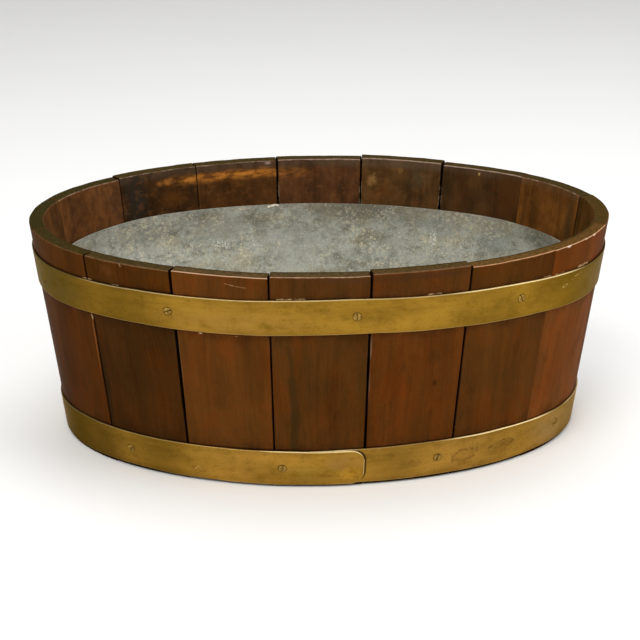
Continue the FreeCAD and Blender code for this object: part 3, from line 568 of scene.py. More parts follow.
def brass(name, gain=1.0, stains=(), strokes=(), lap_end_shadow=None, blotch=0.55, tints=(), grey=1.0):
    """Aged brass strip. strip is (along, across, offset) in millimetres."""
    N = Nodes(name)
    ring = N.fac("ring")
    s = N.vec("strip")
    u, v, w = N.split(s)[0:3]
    edge = N.fac("edge")
    dull_and_shade = N.fac("tarnish_and_shade")
    big = N.noise(N.mapping(s, (0.012, 0.035, 0.03)), 1.0, 4.0, 0.6)
    mid = N.noise(N.mapping(s, (0.065, 0.075, 0.05), (31, 7, 2)), 1.0, 5.0, 0.65)
    small = N.noise(N.mapping(s, (0.34, 0.34, 0.3), (3, 71, 9)), 1.0, 4.0, 0.65)
    brush = N.noise(N.mapping(s, (0.035, 2.4, 1.0), (5, 2, 8)), 1.0, 2.0, 0.6)
    tone = N.add(N.mul(big, 0.45), N.mul(mid, 0.35), N.mul(small, 0.20), N.mul(N.math("SUBTRACT", brush, 0.5), 0.14))
    col = N.mix(N.ramp(tone, 0.34, 0.64), scaled((118, 87, 27), gain, (1.0, 1.0, grey)), scaled((168, 128, 48), gain, (1.0, 1.0, grey)))
    # brown tarnish in blotches, darker near both edges
    tarn = N.add(N.mul(mid, 0.6), N.mul(small, 0.4))
    edge_dark = N.ramp(N.math("ABSOLUTE", v), 13.0, 20.0)
    tm = N.ramp(N.add(tarn, N.mul(edge_dark, 0.09)), 0.50, 0.72)
    col = N.mix(N.mul(tm, blotch), col, srgb(104, 72, 24))
    # tarnish and painted shade by angle round the hoop; the painted shade darkens its left and right ends
    col = N.mix(N.mul(dull_and_shade, 0.80), col, scaled((96, 72, 26), 0.55))
    speck = N.noise(N.mapping(s, (0.9, 1.1, 1.0), (13, 4, 1)), 1.0, 2.0, 0.6)
    sp = N.mul(N.ramp(speck, 0.66, 0.74), N.ramp(mid, 0.45, 0.6))
    col = N.mix(N.mul(sp, 0.50), col, srgb(74, 50, 20))
    for cu, cv, ru, rv, c, amt in tints:
        m = spot(N, N.add(u, N.mul(N.math("SUBTRACT", small, 0.5), 16.0)), N.add(v, N.mul(N.math("SUBTRACT", mid, 0.5), 20.0)), cu, cv, ru, rv, 0.7)
        col = N.mix(N.mul(m, amt, N.ramp(mid, 0.28, 0.58)), col, scaled(c, gain))
    # old water marks: a faint patch with a thin uneven rim
    for cu, cv, ru, rv, amt in stains:
        du = N.add(u, N.mul(N.math("SUBTRACT", small, 0.5), 8.0), N.mul(N.math("SUBTRACT", mid, 0.5), 34.0))
        dv = N.add(v, N.mul(N.math("SUBTRACT", mid, 0.5), 22.0), N.mul(N.math("SUBTRACT", small, 0.5), 6.0))
        m = spot(N, du, dv, cu, cv, ru, rv, 0.40)
        outline = N.ramp(N.math("ABSOLUTE", N.math("SUBTRACT", m, 0.45)), 0.08, 0.36, 1.0, 0.0)
        broken = N.ramp(small, 0.30, 0.50)
        fill = N.mul(N.ramp(m, 0.3, 0.9), N.ramp(small, 0.40, 0.62))
        col = N.mix(N.mul(fill, amt, 0.55), col, srgb(112, 70, 36))
        col = N.mix(N.mul(outline, broken, amt), col, srgb(88, 52, 28))
    for u0, v0, u1, v1, w, amt in strokes:
        k = N.mul(stroke(N, N.add(u, N.mul(N.math("SUBTRACT", small, 0.5), 3.0)), v, u0, v0, u1, v1, w), N.ramp(small, 0.34, 0.52))
        col = N.mix(N.mul(k, amt), col, srgb(206, 180, 118))
    if lap_end_shadow:
        # painted shadow just outside the lapped end
        ue, half, rc = lap_end_shadow
        past = N.math("MAXIMUM", N.math("SUBTRACT", N.math("ABSOLUTE", v), half - rc), 0.0)
        past = N.math("MINIMUM", past, rc)
        corner = N.math("SUBTRACT", rc, N.math("SQRT", N.math("SUBTRACT", rc * rc, N.mul(past, past))))
        d = N.add(N.math("SUBTRACT", u, ue), corner)
        col = N.mix(N.mul(N.ramp(d, 2.9, 0.9), N.ramp(d, -9.0, -5.0), 0.90), col, srgb(40, 28, 12))
    col = N.mix(1.0, col, N.vec("shade"), "MULTIPLY")
    col = N.mix(N.mul(ring, 0.46), col, srgb(58, 41, 16))
    # painted highlight on the top arris and round the lap's end, less metallic there
    col = N.mix(N.mul(edge, 0.90), col, srgb(250, 226, 166))
    metal = N.math("SUBTRACT", 1.0, N.mul(edge, 0.55))
    rough = N.add(0.30, N.mul(mid, 0.16), N.mul(tm, 0.12), N.mul(small, 0.06))
    scr = N.noise(N.mapping(s, (0.05, 3.2, 1.0), (9, 9, 9), (0, 0, 0.1)), 1.0, 2.0, 0.5)
    h = N.add(N.mul(brush, 0.4), N.mul(small, 0.3), N.mul(N.ramp(scr, 0.70, 0.74), -0.6), N.mul(sp, -0.3))
    nrm = N.bump(h, 0.14, 0.0003)
    N.bsdf.inputs["Specular Tint"].default_value = (0.68, 0.60, 0.46, 1.0)
    return N.set(Base_Color=col, Metallic=metal, Roughness=rough, Normal=nrm)


def screw_brass():
    N = Nodes("screw_brass")
    t = N.t.nodes.new("ShaderNodeTexCoord").outputs["Object"]
    n1 = N.noise(t, 420.0, 3.0, 0.6)
    n2 = N.noise(t, 1700.0, 2.0, 0.6)
    edge = N.fac("edge")
    col = N.mix(N.ramp(n1, 0.35, 0.65), srgb(126, 98, 43), srgb(178, 144, 72))
    col = N.mix(N.mul(N.ramp(n2, 0.50, 0.66), 0.45), col, srgb(84, 60, 26))
    col = N.mix(N.mul(edge, 0.52), col, srgb(64, 45, 19))
    N.bsdf.inputs["Specular Tint"].default_value = (0.62, 0.54, 0.40, 1.0)
    rough = N.add(0.34, N.mul(n2, 0.2))
    return N.set(Base_Color=col, Metallic=1.0, Roughness=rough, Normal=N.bump(n2, 0.2, 0.0002))


def sheet_u(deg):
    """Length along the liner's wall at an angle."""
    t = np.linspace(0, math.radians(deg), 600)
    return float(np.trapz(speed(t, np.full_like(t, 120.0)), t))


def zinc(name, silt):
    """Old zinc sheet: grey bloom, warm and cool patches, cream and white oxide.
    silt is how much brown film lies on it."""
    N = Nodes(name)
    s = N.vec("sheet")   # (along, up, across) in millimetres
    u, v, w = N.split(s)[0:3]
    big = N.noise(N.mapping(s, (0.017, 0.026, 0.02)), 1.0, 3.0, 0.55)
    mid = N.noise(N.mapping(s, (0.052, 0.075, 0.06), (8, 3, 1)), 1.0, 5.0, 0.62)
    small = N.noise(N.mapping(s, (0.20, 0.24, 0.2), (1, 44, 7)), 1.0, 5.0, 0.70)
    grain = N.noise(N.mapping(s, (0.50, 0.62, 0.5), (61, 5, 2)), 1.0, 3.0, 0.65)
    hue = N.noise(N.mapping(s, (0.020, 0.034, 0.02), (40, 12, 6)), 1.0, 3.0, 0.6)
    tone = N.add(N.mul(big, 0.22), N.mul(mid, 0.22), N.mul(small, 0.28), N.mul(grain, 0.28))
    col = N.mix(N.ramp(tone, 0.41, 0.60), srgb(112, 110, 96), srgb(188, 188, 173))
    bloom = N.noise(N.mapping(s, (0.060, 0.085, 0.06), (17, 2, 9)), 1.0, 6.0, 0.70)
    col = N.mix(N.mul(N.ramp(bloom, 0.48, 0.66), 0.50), col, srgb(198, 201, 192))
    low = N.ramp(v, 172.0, 130.0)
    cool = N.math("MINIMUM", N.add(N.mul(N.ramp(hue, 0.44, 0.60), 0.8), N.mul(low, 0.35)), 1.0)
    col = N.mix(N.mul(cool, N.ramp(mid, 0.30, 0.60), 0.40), col, srgb(168, 173, 168))
    col = N.mix(N.mul(N.ramp(hue, 0.50, 0.38), 0.42), col, srgb(160, 150, 122))
    # brownish film towards the top edge
    film = N.mul(N.ramp(v, 158.0, 186.0), N.ramp(mid, 0.32, 0.60))
    col = N.mix(N.mul(film, 0.30), col, srgb(122, 114, 92))
    for deg, z0, ru, rz, c, amt in (
            (80.0, 183.0, 46.0, 15.0, (104, 98, 78), 0.70), (104.0, 172.0, 17.0, 9.0, (112, 106, 86), 0.55),
            (60.0, 166.0, 26.0, 12.0, (160, 165, 160), 0.45), (113.0, 160.0, 30.0, 14.0, (162, 166, 160), 0.40),
            (42.0, 160.0, 26.0, 14.0, (146, 152, 148), 0.45), (95.0, 140.0, 60.0, 20.0, (172, 175, 168), 0.40),
            (132.0, 168.0, 26.0, 10.0, (128, 130, 124), 0.40), (75.0, 150.0, 24.0, 9.0, (112, 112, 100), 0.40),
            (26.0, 175.0, 22.0, 12.0, (92, 90, 76), 0.60)):
        m = spot(N, N.add(u, N.mul(N.math("SUBTRACT", mid, 0.5), 60.0)), N.add(v, N.mul(N.math("SUBTRACT", small, 0.5), 26.0)), sheet_u(deg), z0, ru, rz, 0.55)
        col = N.mix(N.mul(m, amt), col, srgb(*c))
    # cream oxide: clusters of small specks
    clus = N.ramp(N.noise(N.mapping(s, (0.030, 0.040, 0.03), (5, 9, 3)), 1.0, 3.0, 0.6), 0.44, 0.64)
    for deg, z0, ru, rz in ((131.0, 181.0, 36.0, 8.0), (143.0, 180.0, 20.0, 7.0), (53.0, 180.0, 40.0, 8.0), (99.0, 176.0, 16.0, 12.0), (62.0, 150.0, 14.0, 16.0)):
        clus = N.math("MAXIMUM", clus, spot(N, N.add(u, N.mul(N.math("SUBTRACT", mid, 0.5), 40.0)), v, sheet_u(deg), z0, ru, rz, 0.6))
    spk = N.noise(N.mapping(s, (0.24, 0.29, 0.2), (2, 2, 5)), 1.0, 5.0, 0.72)
    specks = N.mul(N.ramp(spk, 0.49, 0.62), N.add(0.18, N.mul(clus, 0.82)))
    col = N.mix(N.mul(specks, 0.72), col, srgb(216, 206, 176))
    spk2 = N.ramp(N.noise(N.mapping(s, (0.40, 0.46, 0.4), (9, 1, 4)), 1.0, 3.0, 0.65), 0.63, 0.72)
    col = N.mix(N.mul(spk2, 0.80), col, srgb(240, 238, 228))
    dark = N.ramp(N.noise(N.mapping(s, (0.11, 0.13, 0.1), (4, 4, 4)), 1.0, 5.0, 0.7), 0.54, 0.72)
    col = N.mix(N.mul(dark, 0.12), col, srgb(104, 100, 86))
    # painted light: the sheet lighter lower down, darker towards the rim
    lit = N.ramp(v, 176.0, 134.0, 0.90, 1.25)
    col = N.mix(1.0, col, N.combine(lit, lit, N.mul(lit, 1.02)), "MULTIPLY")
    if silt:
        bed = N.ramp(N.noise(N.mapping(s, (0.012, 0.026, 0.02), (3, 6, 9)), 1.0, 4.0, 0.6), 0.30, 0.66)
        col = N.mix(N.mul(N.add(0.35, N.mul(bed, 0.65)), silt), col, srgb(104, 94, 74))
    # dull solder along the lap
    sold = N.mul(N.fac("solder"), N.ramp(small, 0.34, 0.56))
    col = N.mix(N.mul(sold, 0.65), col, srgb(134, 135, 130))
    # a pale scrap at the edge and two bright runs
    scrap = N.math("MAXIMUM", stroke(N, u, v, sheet_u(98.6), 188.2, sheet_u(100.6), 186.2, 1.5), stroke(N, u, v, sheet_u(99.4), 188.6, sheet_u(98.2), 187.0, 1.1))
    flake = N.ramp(N.noise(N.mapping(s, (0.55, 0.42, 0.4), (7, 7, 1)), 1.0, 3.0, 0.65), 0.52, 0.60)
    run = N.mul(flake, N.math("MAXIMUM", spot(N, u, v, sheet_u(60.4), 151.0, 4.5, 10.0, 0.5), spot(N, u, v, sheet_u(112.6), 146.0, 10.0, 5.5, 0.6)))
    col = N.mix(N.mul(scrap, N.ramp(small, 0.30, 0.46), 0.9), col, srgb(250, 244, 224))
    col = N.mix(N.mul(run, 0.9), col, srgb(244, 246, 240))
    rough = N.add(0.50, N.mul(small, 0.22), N.mul(specks, 0.15))
    h = N.add(N.mul(small, 0.5), N.mul(specks, 0.7), N.mul(grain, 0.2))
    return N.set(Base_Color=col, Metallic=0.35, Roughness=rough, Normal=N.bump(h, 0.25, 0.0005))


def board_wood(name, seed, gain):
    """Plain sawn base boards, grain along X, dusty."""
    N = Nodes(name)
    t = N.t.nodes.new("ShaderNodeTexCoord").outputs["Object"]
    off = (seed * 1.7, seed * 0.9, seed * 2.3)
    wob = N.noise(N.mapping(t, (4, 18, 18), off), 1.0, 2.0)
    ox, oy, oz = N.split(t)[0:3]
    g = N.combine(ox, N.add(oy, N.mul(N.math("SUBTRACT", wob, 0.5), 0.02)), oz)
    a = N.noise(N.mapping(g, (5, 190, 190), off), 1.0, 4.0, 0.62)
    b = N.noise(N.mapping(g, (14, 760, 760), off), 1.0, 2.0, 0.6)
    c = N.noise(N.mapping(t, (9, 12, 12), off), 1.0, 4.0, 0.6)
    col = N.mix(N.ramp(N.add(N.mul(a, 0.46), N.mul(b, 0.32), N.mul(c, 0.22)), 0.38, 0.62), scaled((84, 57, 32), gain), scaled((140, 103, 64), gain))
    col = N.mix(N.mul(N.ramp(b, 0.60, 0.72), 0.4), col, srgb(60, 38, 20))
    col = N.mix(N.mul(N.ramp(c, 0.50, 0.70), 0.35), col, srgb(70, 60, 50))
    saw = N.noise(N.mapping(t, (700, 30, 30), off, (0, 0, 0.12)), 1.0, 1.0)
    rough = N.add(0.62, N.mul(c, 0.2))
    return N.set(Base_Color=col, Roughness=rough, Normal=N.bump(N.add(N.mul(b, 0.6), N.mul(saw, 0.4)), 0.35, 0.0005))


# -------------------------------------------------------------------- staves
BAND = [0.0, 0.35, 0.75, 1.2, 1.7, 2.4]

# How each hoop sits: (angle, height over its level), along the strip.
UP_TOP = [(78, -0.9), (120, 0.1), (150, -1.0), (180, -2.6), (192, -3.3), (202, -3.6), (208, -3.35), (214, -3.0), (220, -2.7),
          (226, -2.2), (232, -1.5), (238, -1.5), (244, -1.5), (250, -1.6), (256, -1.0), (262, -0.05), (268, 0.5), (274, 1.15),
          (280, 0.4), (286, -0.5), (292, -0.8), (298, -1.3), (304, -1.5), (310, -2.4), (316, -3.9), (322, -5.2), (328, -6.5),
          (334, -7.5), (340, -7.9), (348, -7.8), (360, -6.6), (375, -4.7), (390, -3.0), (420, -1.0), (452, -0.9)]
UP_FOOT = [(78, -0.5), (120, 0.2), (150, -0.4), (180, -1.2), (196, -1.6), (205, -1.8), (213, -1.2), (221, -0.2), (232, 0.3),
           (241, -0.3), (257, -0.1), (264, 0.9), (272, 1.5), (279, 1.8), (287, 0.4), (295, -0.2), (305, -1.4), (315, -2.5),
           (322, -4.4), (326, -5.2), (333, -6.2), (340, -6.8), (348, -6.8), (360, -5.8), (375, -4.2), (390, -2.6), (420, -0.8), (452, -0.3)]
LO_TOP = [(264, -3.0), (270, -2.2), (275, -1.0), (280, -0.5), (286, 0.0), (292, 0.4), (298, -0.2), (304, -0.7), (310, -0.5),
          (316, -1.1), (322, -1.8), (328, -1.8), (334, -2.3), (340, -2.2), (346, -2.0), (360, -0.8), (390, -0.3), (420, 0.2),
          (480, -0.4), (510, -1.0), (540, -2.5), (550, -2.2), (556, -1.6), (562, -1.2), (568, -0.9), (574, -1.3), (580, -1.5),
          (586, -1.6), (592, -2.0), (598, -2.0), (604, -2.2), (610, -2.2), (616, -1.8), (622, -1.9), (628, -2.4), (634, -1.8), (638, -1.5)]
LO_FOOT = [(264, 0.6), (281, 1.2), (290, 1.5), (299, 1.6), (311, 1.2), (318, 1.8), (325, 2.0), (340, 1.3), (360, 0.7), (420, 0.1),
           (480, 0.0), (520, 0.6), (540, 1.6), (552, 1.6), (561, 0.8), (572, 1.3), (586, 1.8), (597, 0.6), (616, 0.2), (624, 0.5), (638, 0.6)]


def curve(table, deg):
    """Height along a strip; angles outside the table are wrapped into it."""
    a = np.array([p[0] for p in table], float)
    h = np.array([p[1] for p in table], float)
    d = np.asarray(deg, float)
    d = np.where(d < a[0], d + 360.0, d)
    d = np.where(d > a[-1], d - 360.0, d)
    return np.interp(d, a, h)


def stave(number):
    i = number - 1
    th0, th1 = JOINTS[i][0], JOINTS[(i + 1) % len(JOINTS)][0]
    if th1 < th0:
        th1 += 360.0
    top, foot, lean = STAVES[i]
    t0, t1 = math.radians(th0), math.radians(th1)
    tm = (t0 + t1) / 2
    tt = np.linspace(t0, t1, 400)
    width = float(np.trapz(speed(tt, np.full_like(tt, H)), tt))
    height = H + top - foot
    xs = banded(width, BAND, 2.5)
    ys = banded(T, BAND, 2.0)
    zs = banded(height, BAND, 2.6)
    ijk, quads, side = box_grid(xs, ys, zs)
    p = np.stack([xs[ijk[:, 0]], ys[ijk[:, 1]], zs[ijk[:, 2]]], -1)
    L = np.array([width, T, height])
    flat = p.copy()
    # rounded arrises: worn at the rim, fine along open joints, crisp at tight ones
    at_top = smooth(height - 7, height - 2, p[:, 2])
    n1 = fbm(np.stack([p[:, 0] / 9, p[:, 1] / 9, p[:, 2] / 9], -1) + number * 13.1, 3, 3)
    shown0, shown1 = SHOWN[i], SHOWN[(i + 1) % len(SHOWN)]
    low_x = p[:, 0] < width / 2
    stands = np.where(low_x, shown0 > 0.5, shown1 > 0.5).astype(float)
    rv = 0.10 + stands * (0.40 + 0.15 * n1)
    rt = (1.25 + 0.35 * n1).clip(0.5, 1.8)
    r = np.stack([rv, rv + (rt - rv) * at_top, np.where(p[:, 2] > height / 2, rt, 0.6)], -1)
    q = np.minimum(np.maximum(p, r), L - r)
    d = (p - q) / r
    ln = np.linalg.norm(d, axis=1, keepdims=True)
    p = np.where(ln > 1e-9, q + r * d / np.maximum(ln, 1e-9), p)
    # distances to the two arrises of the rim, for the painted arris highlight
    d_out = np.maximum(flat[:, 1], height - flat[:, 2])
    d_in = np.maximum(T - flat[:, 1], height - flat[:, 2])
    ro, ri = ARRIS[i]
    arris_highlight = np.maximum(ro * np.exp(-(d_out / ARRIS_HIGHLIGHT.get(number, (1.1,))[0]) ** 2), ri * np.exp(-(d_in / 1.4) ** 2))
    # knocked corners and nicks at the rim
    nick = fbm(np.stack([flat[:, 0] / 4.2, flat[:, 1] / 5, flat[:, 2] / 4.2], -1) + number * 5.7, 11, 3)
    corner = smooth(3.0, 0.0, np.minimum(flat[:, 0], width - flat[:, 0])) * smooth(4.0, 0.0, height - flat[:, 2]) * stands
    cut = corner * (0.30 + 0.45 * nick).clip(0, 0.8) + smooth(3, 0, np.minimum(d_out, d_in)) * (nick - 0.42).clip(0, 1) * 1.3
    centre = L / 2
    dirn = (centre - p) * np.array([1.0, 1.0, 0.2])
    dirn /= np.linalg.norm(dirn, axis=1, keepdims=True)
    p = p + dirn * cut[:, None]
    # hand-planed faces: shallow hollows, a slight cup across the width
    face = fbm(np.stack([flat[:, 0] / 34, flat[:, 2] / 90, flat[:, 1] / 60], -1) + number * 3.3, 5, 2)
    ripple = vnoise(np.stack([flat[:, 0] / 11, flat[:, 2] / 55, flat[:, 1] / 9], -1) + number * 7.9, 9)
    cup = ((flat[:, 0] / width - 0.5) ** 2 * 4 - 0.5) * 0.22
    depth = p[:, 1] + 0.18 * face + 0.07 * ripple + cup * np.sin(number * 1.3) + INSET[i]
    # end grain: a little uneven
    zz = p[:, 2] + np.where(flat[:, 2] > height - 3, 0.18 * vnoise(np.stack([flat[:, 0] / 14, flat[:, 1] / 8, 0 * depth], -1) + number, 21), 0)
    # to the oval wall
    fx = p[:, 0] / width
    z = foot + zz + np.tan(math.radians(lean)) * (p[:, 0] - width / 2)
    # joints stand open towards the outside in front, towards the inside behind
    inwards = np.clip(p[:, 1] / T, 0, 1)

    def half_gap(th, shown):
        k = smooth(0.15, 0.80, inwards) if math.sin(math.radians(th)) > 0.05 else smooth(0.85, 0.25, inwards)
        least = min(shown, 0.04 if math.sin(math.radians(th)) > 0.05 else 0.22)
        return (least + (shown - least) * k) / 2 * (1 + 0.22 * vnoise(np.stack([z / 30, 0 * z, 0 * z], -1) + math.cos(math.radians(th)) * 50, 31))

    gz0, gz1 = half_gap(th0, shown0), half_gap(th1, shown1)
    a0 = t0 + gz0 / speed(t0, z)
    a1 = t1 - gz1 / speed(t1, z)
    theta = a0 + (a1 - a0) * fx
    v = wall(theta, z, -depth)
    mat = wood(number, width)
    ob = new_object("stave_%02d_wood" % number, v, quads, mat)
    attr(ob, "grain", np.stack([flat[:, 0], flat[:, 1], z], -1))
    attr(ob, "arris_highlight", arris_highlight)
    deg = np.degrees(theta)
    attr(ob, "hoops", np.stack([z - curve(UP_TOP, deg) - 212.3, z - curve(UP_FOOT, deg) - 173.5, z - curve(LO_TOP, deg) - 44.2], -1))
    attr(ob, "endgrain", smooth(1.6, 0.2, np.minimum(flat[:, 2], height - flat[:, 2])) * smooth(0.0, 1.4, np.minimum(np.minimum(flat[:, 0], width - flat[:, 0]), np.minimum(flat[:, 1], T - flat[:, 1])) + 0.2))
    attr(ob, "jointface", smooth(0.9, 0.1, np.minimum(flat[:, 0], width - flat[:, 0])) * (0.6 * stands + (1 - 0.6 * stands) * smooth(0.2, 1.6, np.minimum(flat[:, 1], T - flat[:, 1]))) * (0.15 + 0.85 * stands))
    attr(ob, "inside", smooth(T * 0.4, T * 0.8, flat[:, 1]))
    # bake map: each side of the stave in its own rectangle
    uv = ob.data.uv_layers.new(name="OFBake")
    vid = quads.ravel()
    sd = np.repeat(side, 4)
    X, Y, Z = flat[vid, 0], flat[vid, 1], flat[vid, 2]
    U = np.select([sd == 2, sd == 3, sd == 0, sd == 1, sd == 4, sd == 5], [3 + X, 116 + X, 229 + Y, 247 + Y, 3 + X, 116 + X])
    V = np.select([sd <= 3, sd == 4, sd == 5], [3 + Z, 247 + Y, 247 + Y])
    uv.data.foreach_set("uv", (np.stack([U, V], -1) / 268.0).astype(np.float32).ravel())
    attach(ob, "tub")
    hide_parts("stave_%02d" % number)
    return ob


for k in range(1, 17):
    stave(k)

# --------------------------------------------------------------------- hoops


def boolean_cut(ob, cutters):
    """Cuts the cutter meshes out of ob and returns it with a clean mesh."""
    mod = []
    for c in cutters:
        m = ob.modifiers.new("cut", "BOOLEAN")
        m.operation = "DIFFERENCE"
        m.solver = "MANIFOLD"
        m.object = c
        mod.append(m)
    dg = bpy.context.evaluated_depsgraph_get()
    me = bpy.data.meshes.new_from_object(ob.evaluated_get(dg))
    ob.modifiers.clear()
    old = ob.data
    me.name = ob.name
    ob.data = me
    bpy.data.meshes.remove(old)
    for c in cutters:
        m = c.data
        bpy.data.objects.remove(c)
        bpy.data.meshes.remove(m)
    return ob


def screw_frame(theta_deg, z, turn, lift):
    """Matrix (metres) of a screw: Z out of the wall, X along its slot."""
    t = math.radians(theta_deg)
    n = normal_at(t, z)
    a, b = semi(z)
    along = np.array([-a * math.sin(t), b * math.cos(t), 0.0])
    along /= np.linalg.norm(along)
    up = np.cross(n, along)
    c, s = math.cos(math.radians(turn)), math.sin(math.radians(turn))
    x = along * c + up * s
    y = np.cross(n, x)
    base = np.array([a * math.cos(t), b * math.sin(t), z]) + n * lift
    m = np.eye(4)
    m[:3, 0], m[:3, 1], m[:3, 2], m[:3, 3] = x, y, n, base
    return m


def lathe(profile, seg):
    """Turned closed mesh from (radius, z) points, first and last on the axis."""
    verts = [(0, 0, profile[0][1])]
    for r, z in profile[1:-1]:
        for k in range(seg):
            a = 2 * math.pi * k / seg
            verts.append((r * math.cos(a), r * math.sin(a), z))
    verts.append((0, 0, profile[-1][1]))
    faces = []
    n = len(profile) - 2
    for k in range(seg):
        faces.append((0, 1 + k, 1 + (k + 1) % seg))
    for j in range(n - 1):
        for k in range(seg):
            a, b = 1 + j * seg + k, 1 + j * seg + (k + 1) % seg
            c, d = a + seg, b + seg
            faces.append((a, c, d, b))
    last = len(verts) - 1
    o = 1 + (n - 1) * seg
    for k in range(seg):
        faces.append((last, o + (k + 1) % seg, o + k))
    return np.array(verts, float), faces


def mesh_from(name, verts_mm, faces):
    me = bpy.data.meshes.new(name)
    me.from_pydata((np.asarray(verts_mm) * 0.001).tolist(), [], [list(f) for f in faces])
    me.update()
    return me


def bulge(theta, across):
    """Slight buckles of a strip, millimetres outwards."""
    ring3 = np.stack([np.cos(theta) * 10, np.sin(theta) * 10, across / 40], -1)
    return 0.20 * fbm(ring3 * 0.6, 51, 2) + 0.07 * vnoise(ring3 * 2.2, 53)


def lap_zone(deg):
    """1 round the upper hoop's lap, where the strip is drawn tight."""
    return smooth(34.0, 16.0, np.abs(np.mod(deg - 86.0 + 180.0, 360.0) - 180.0))


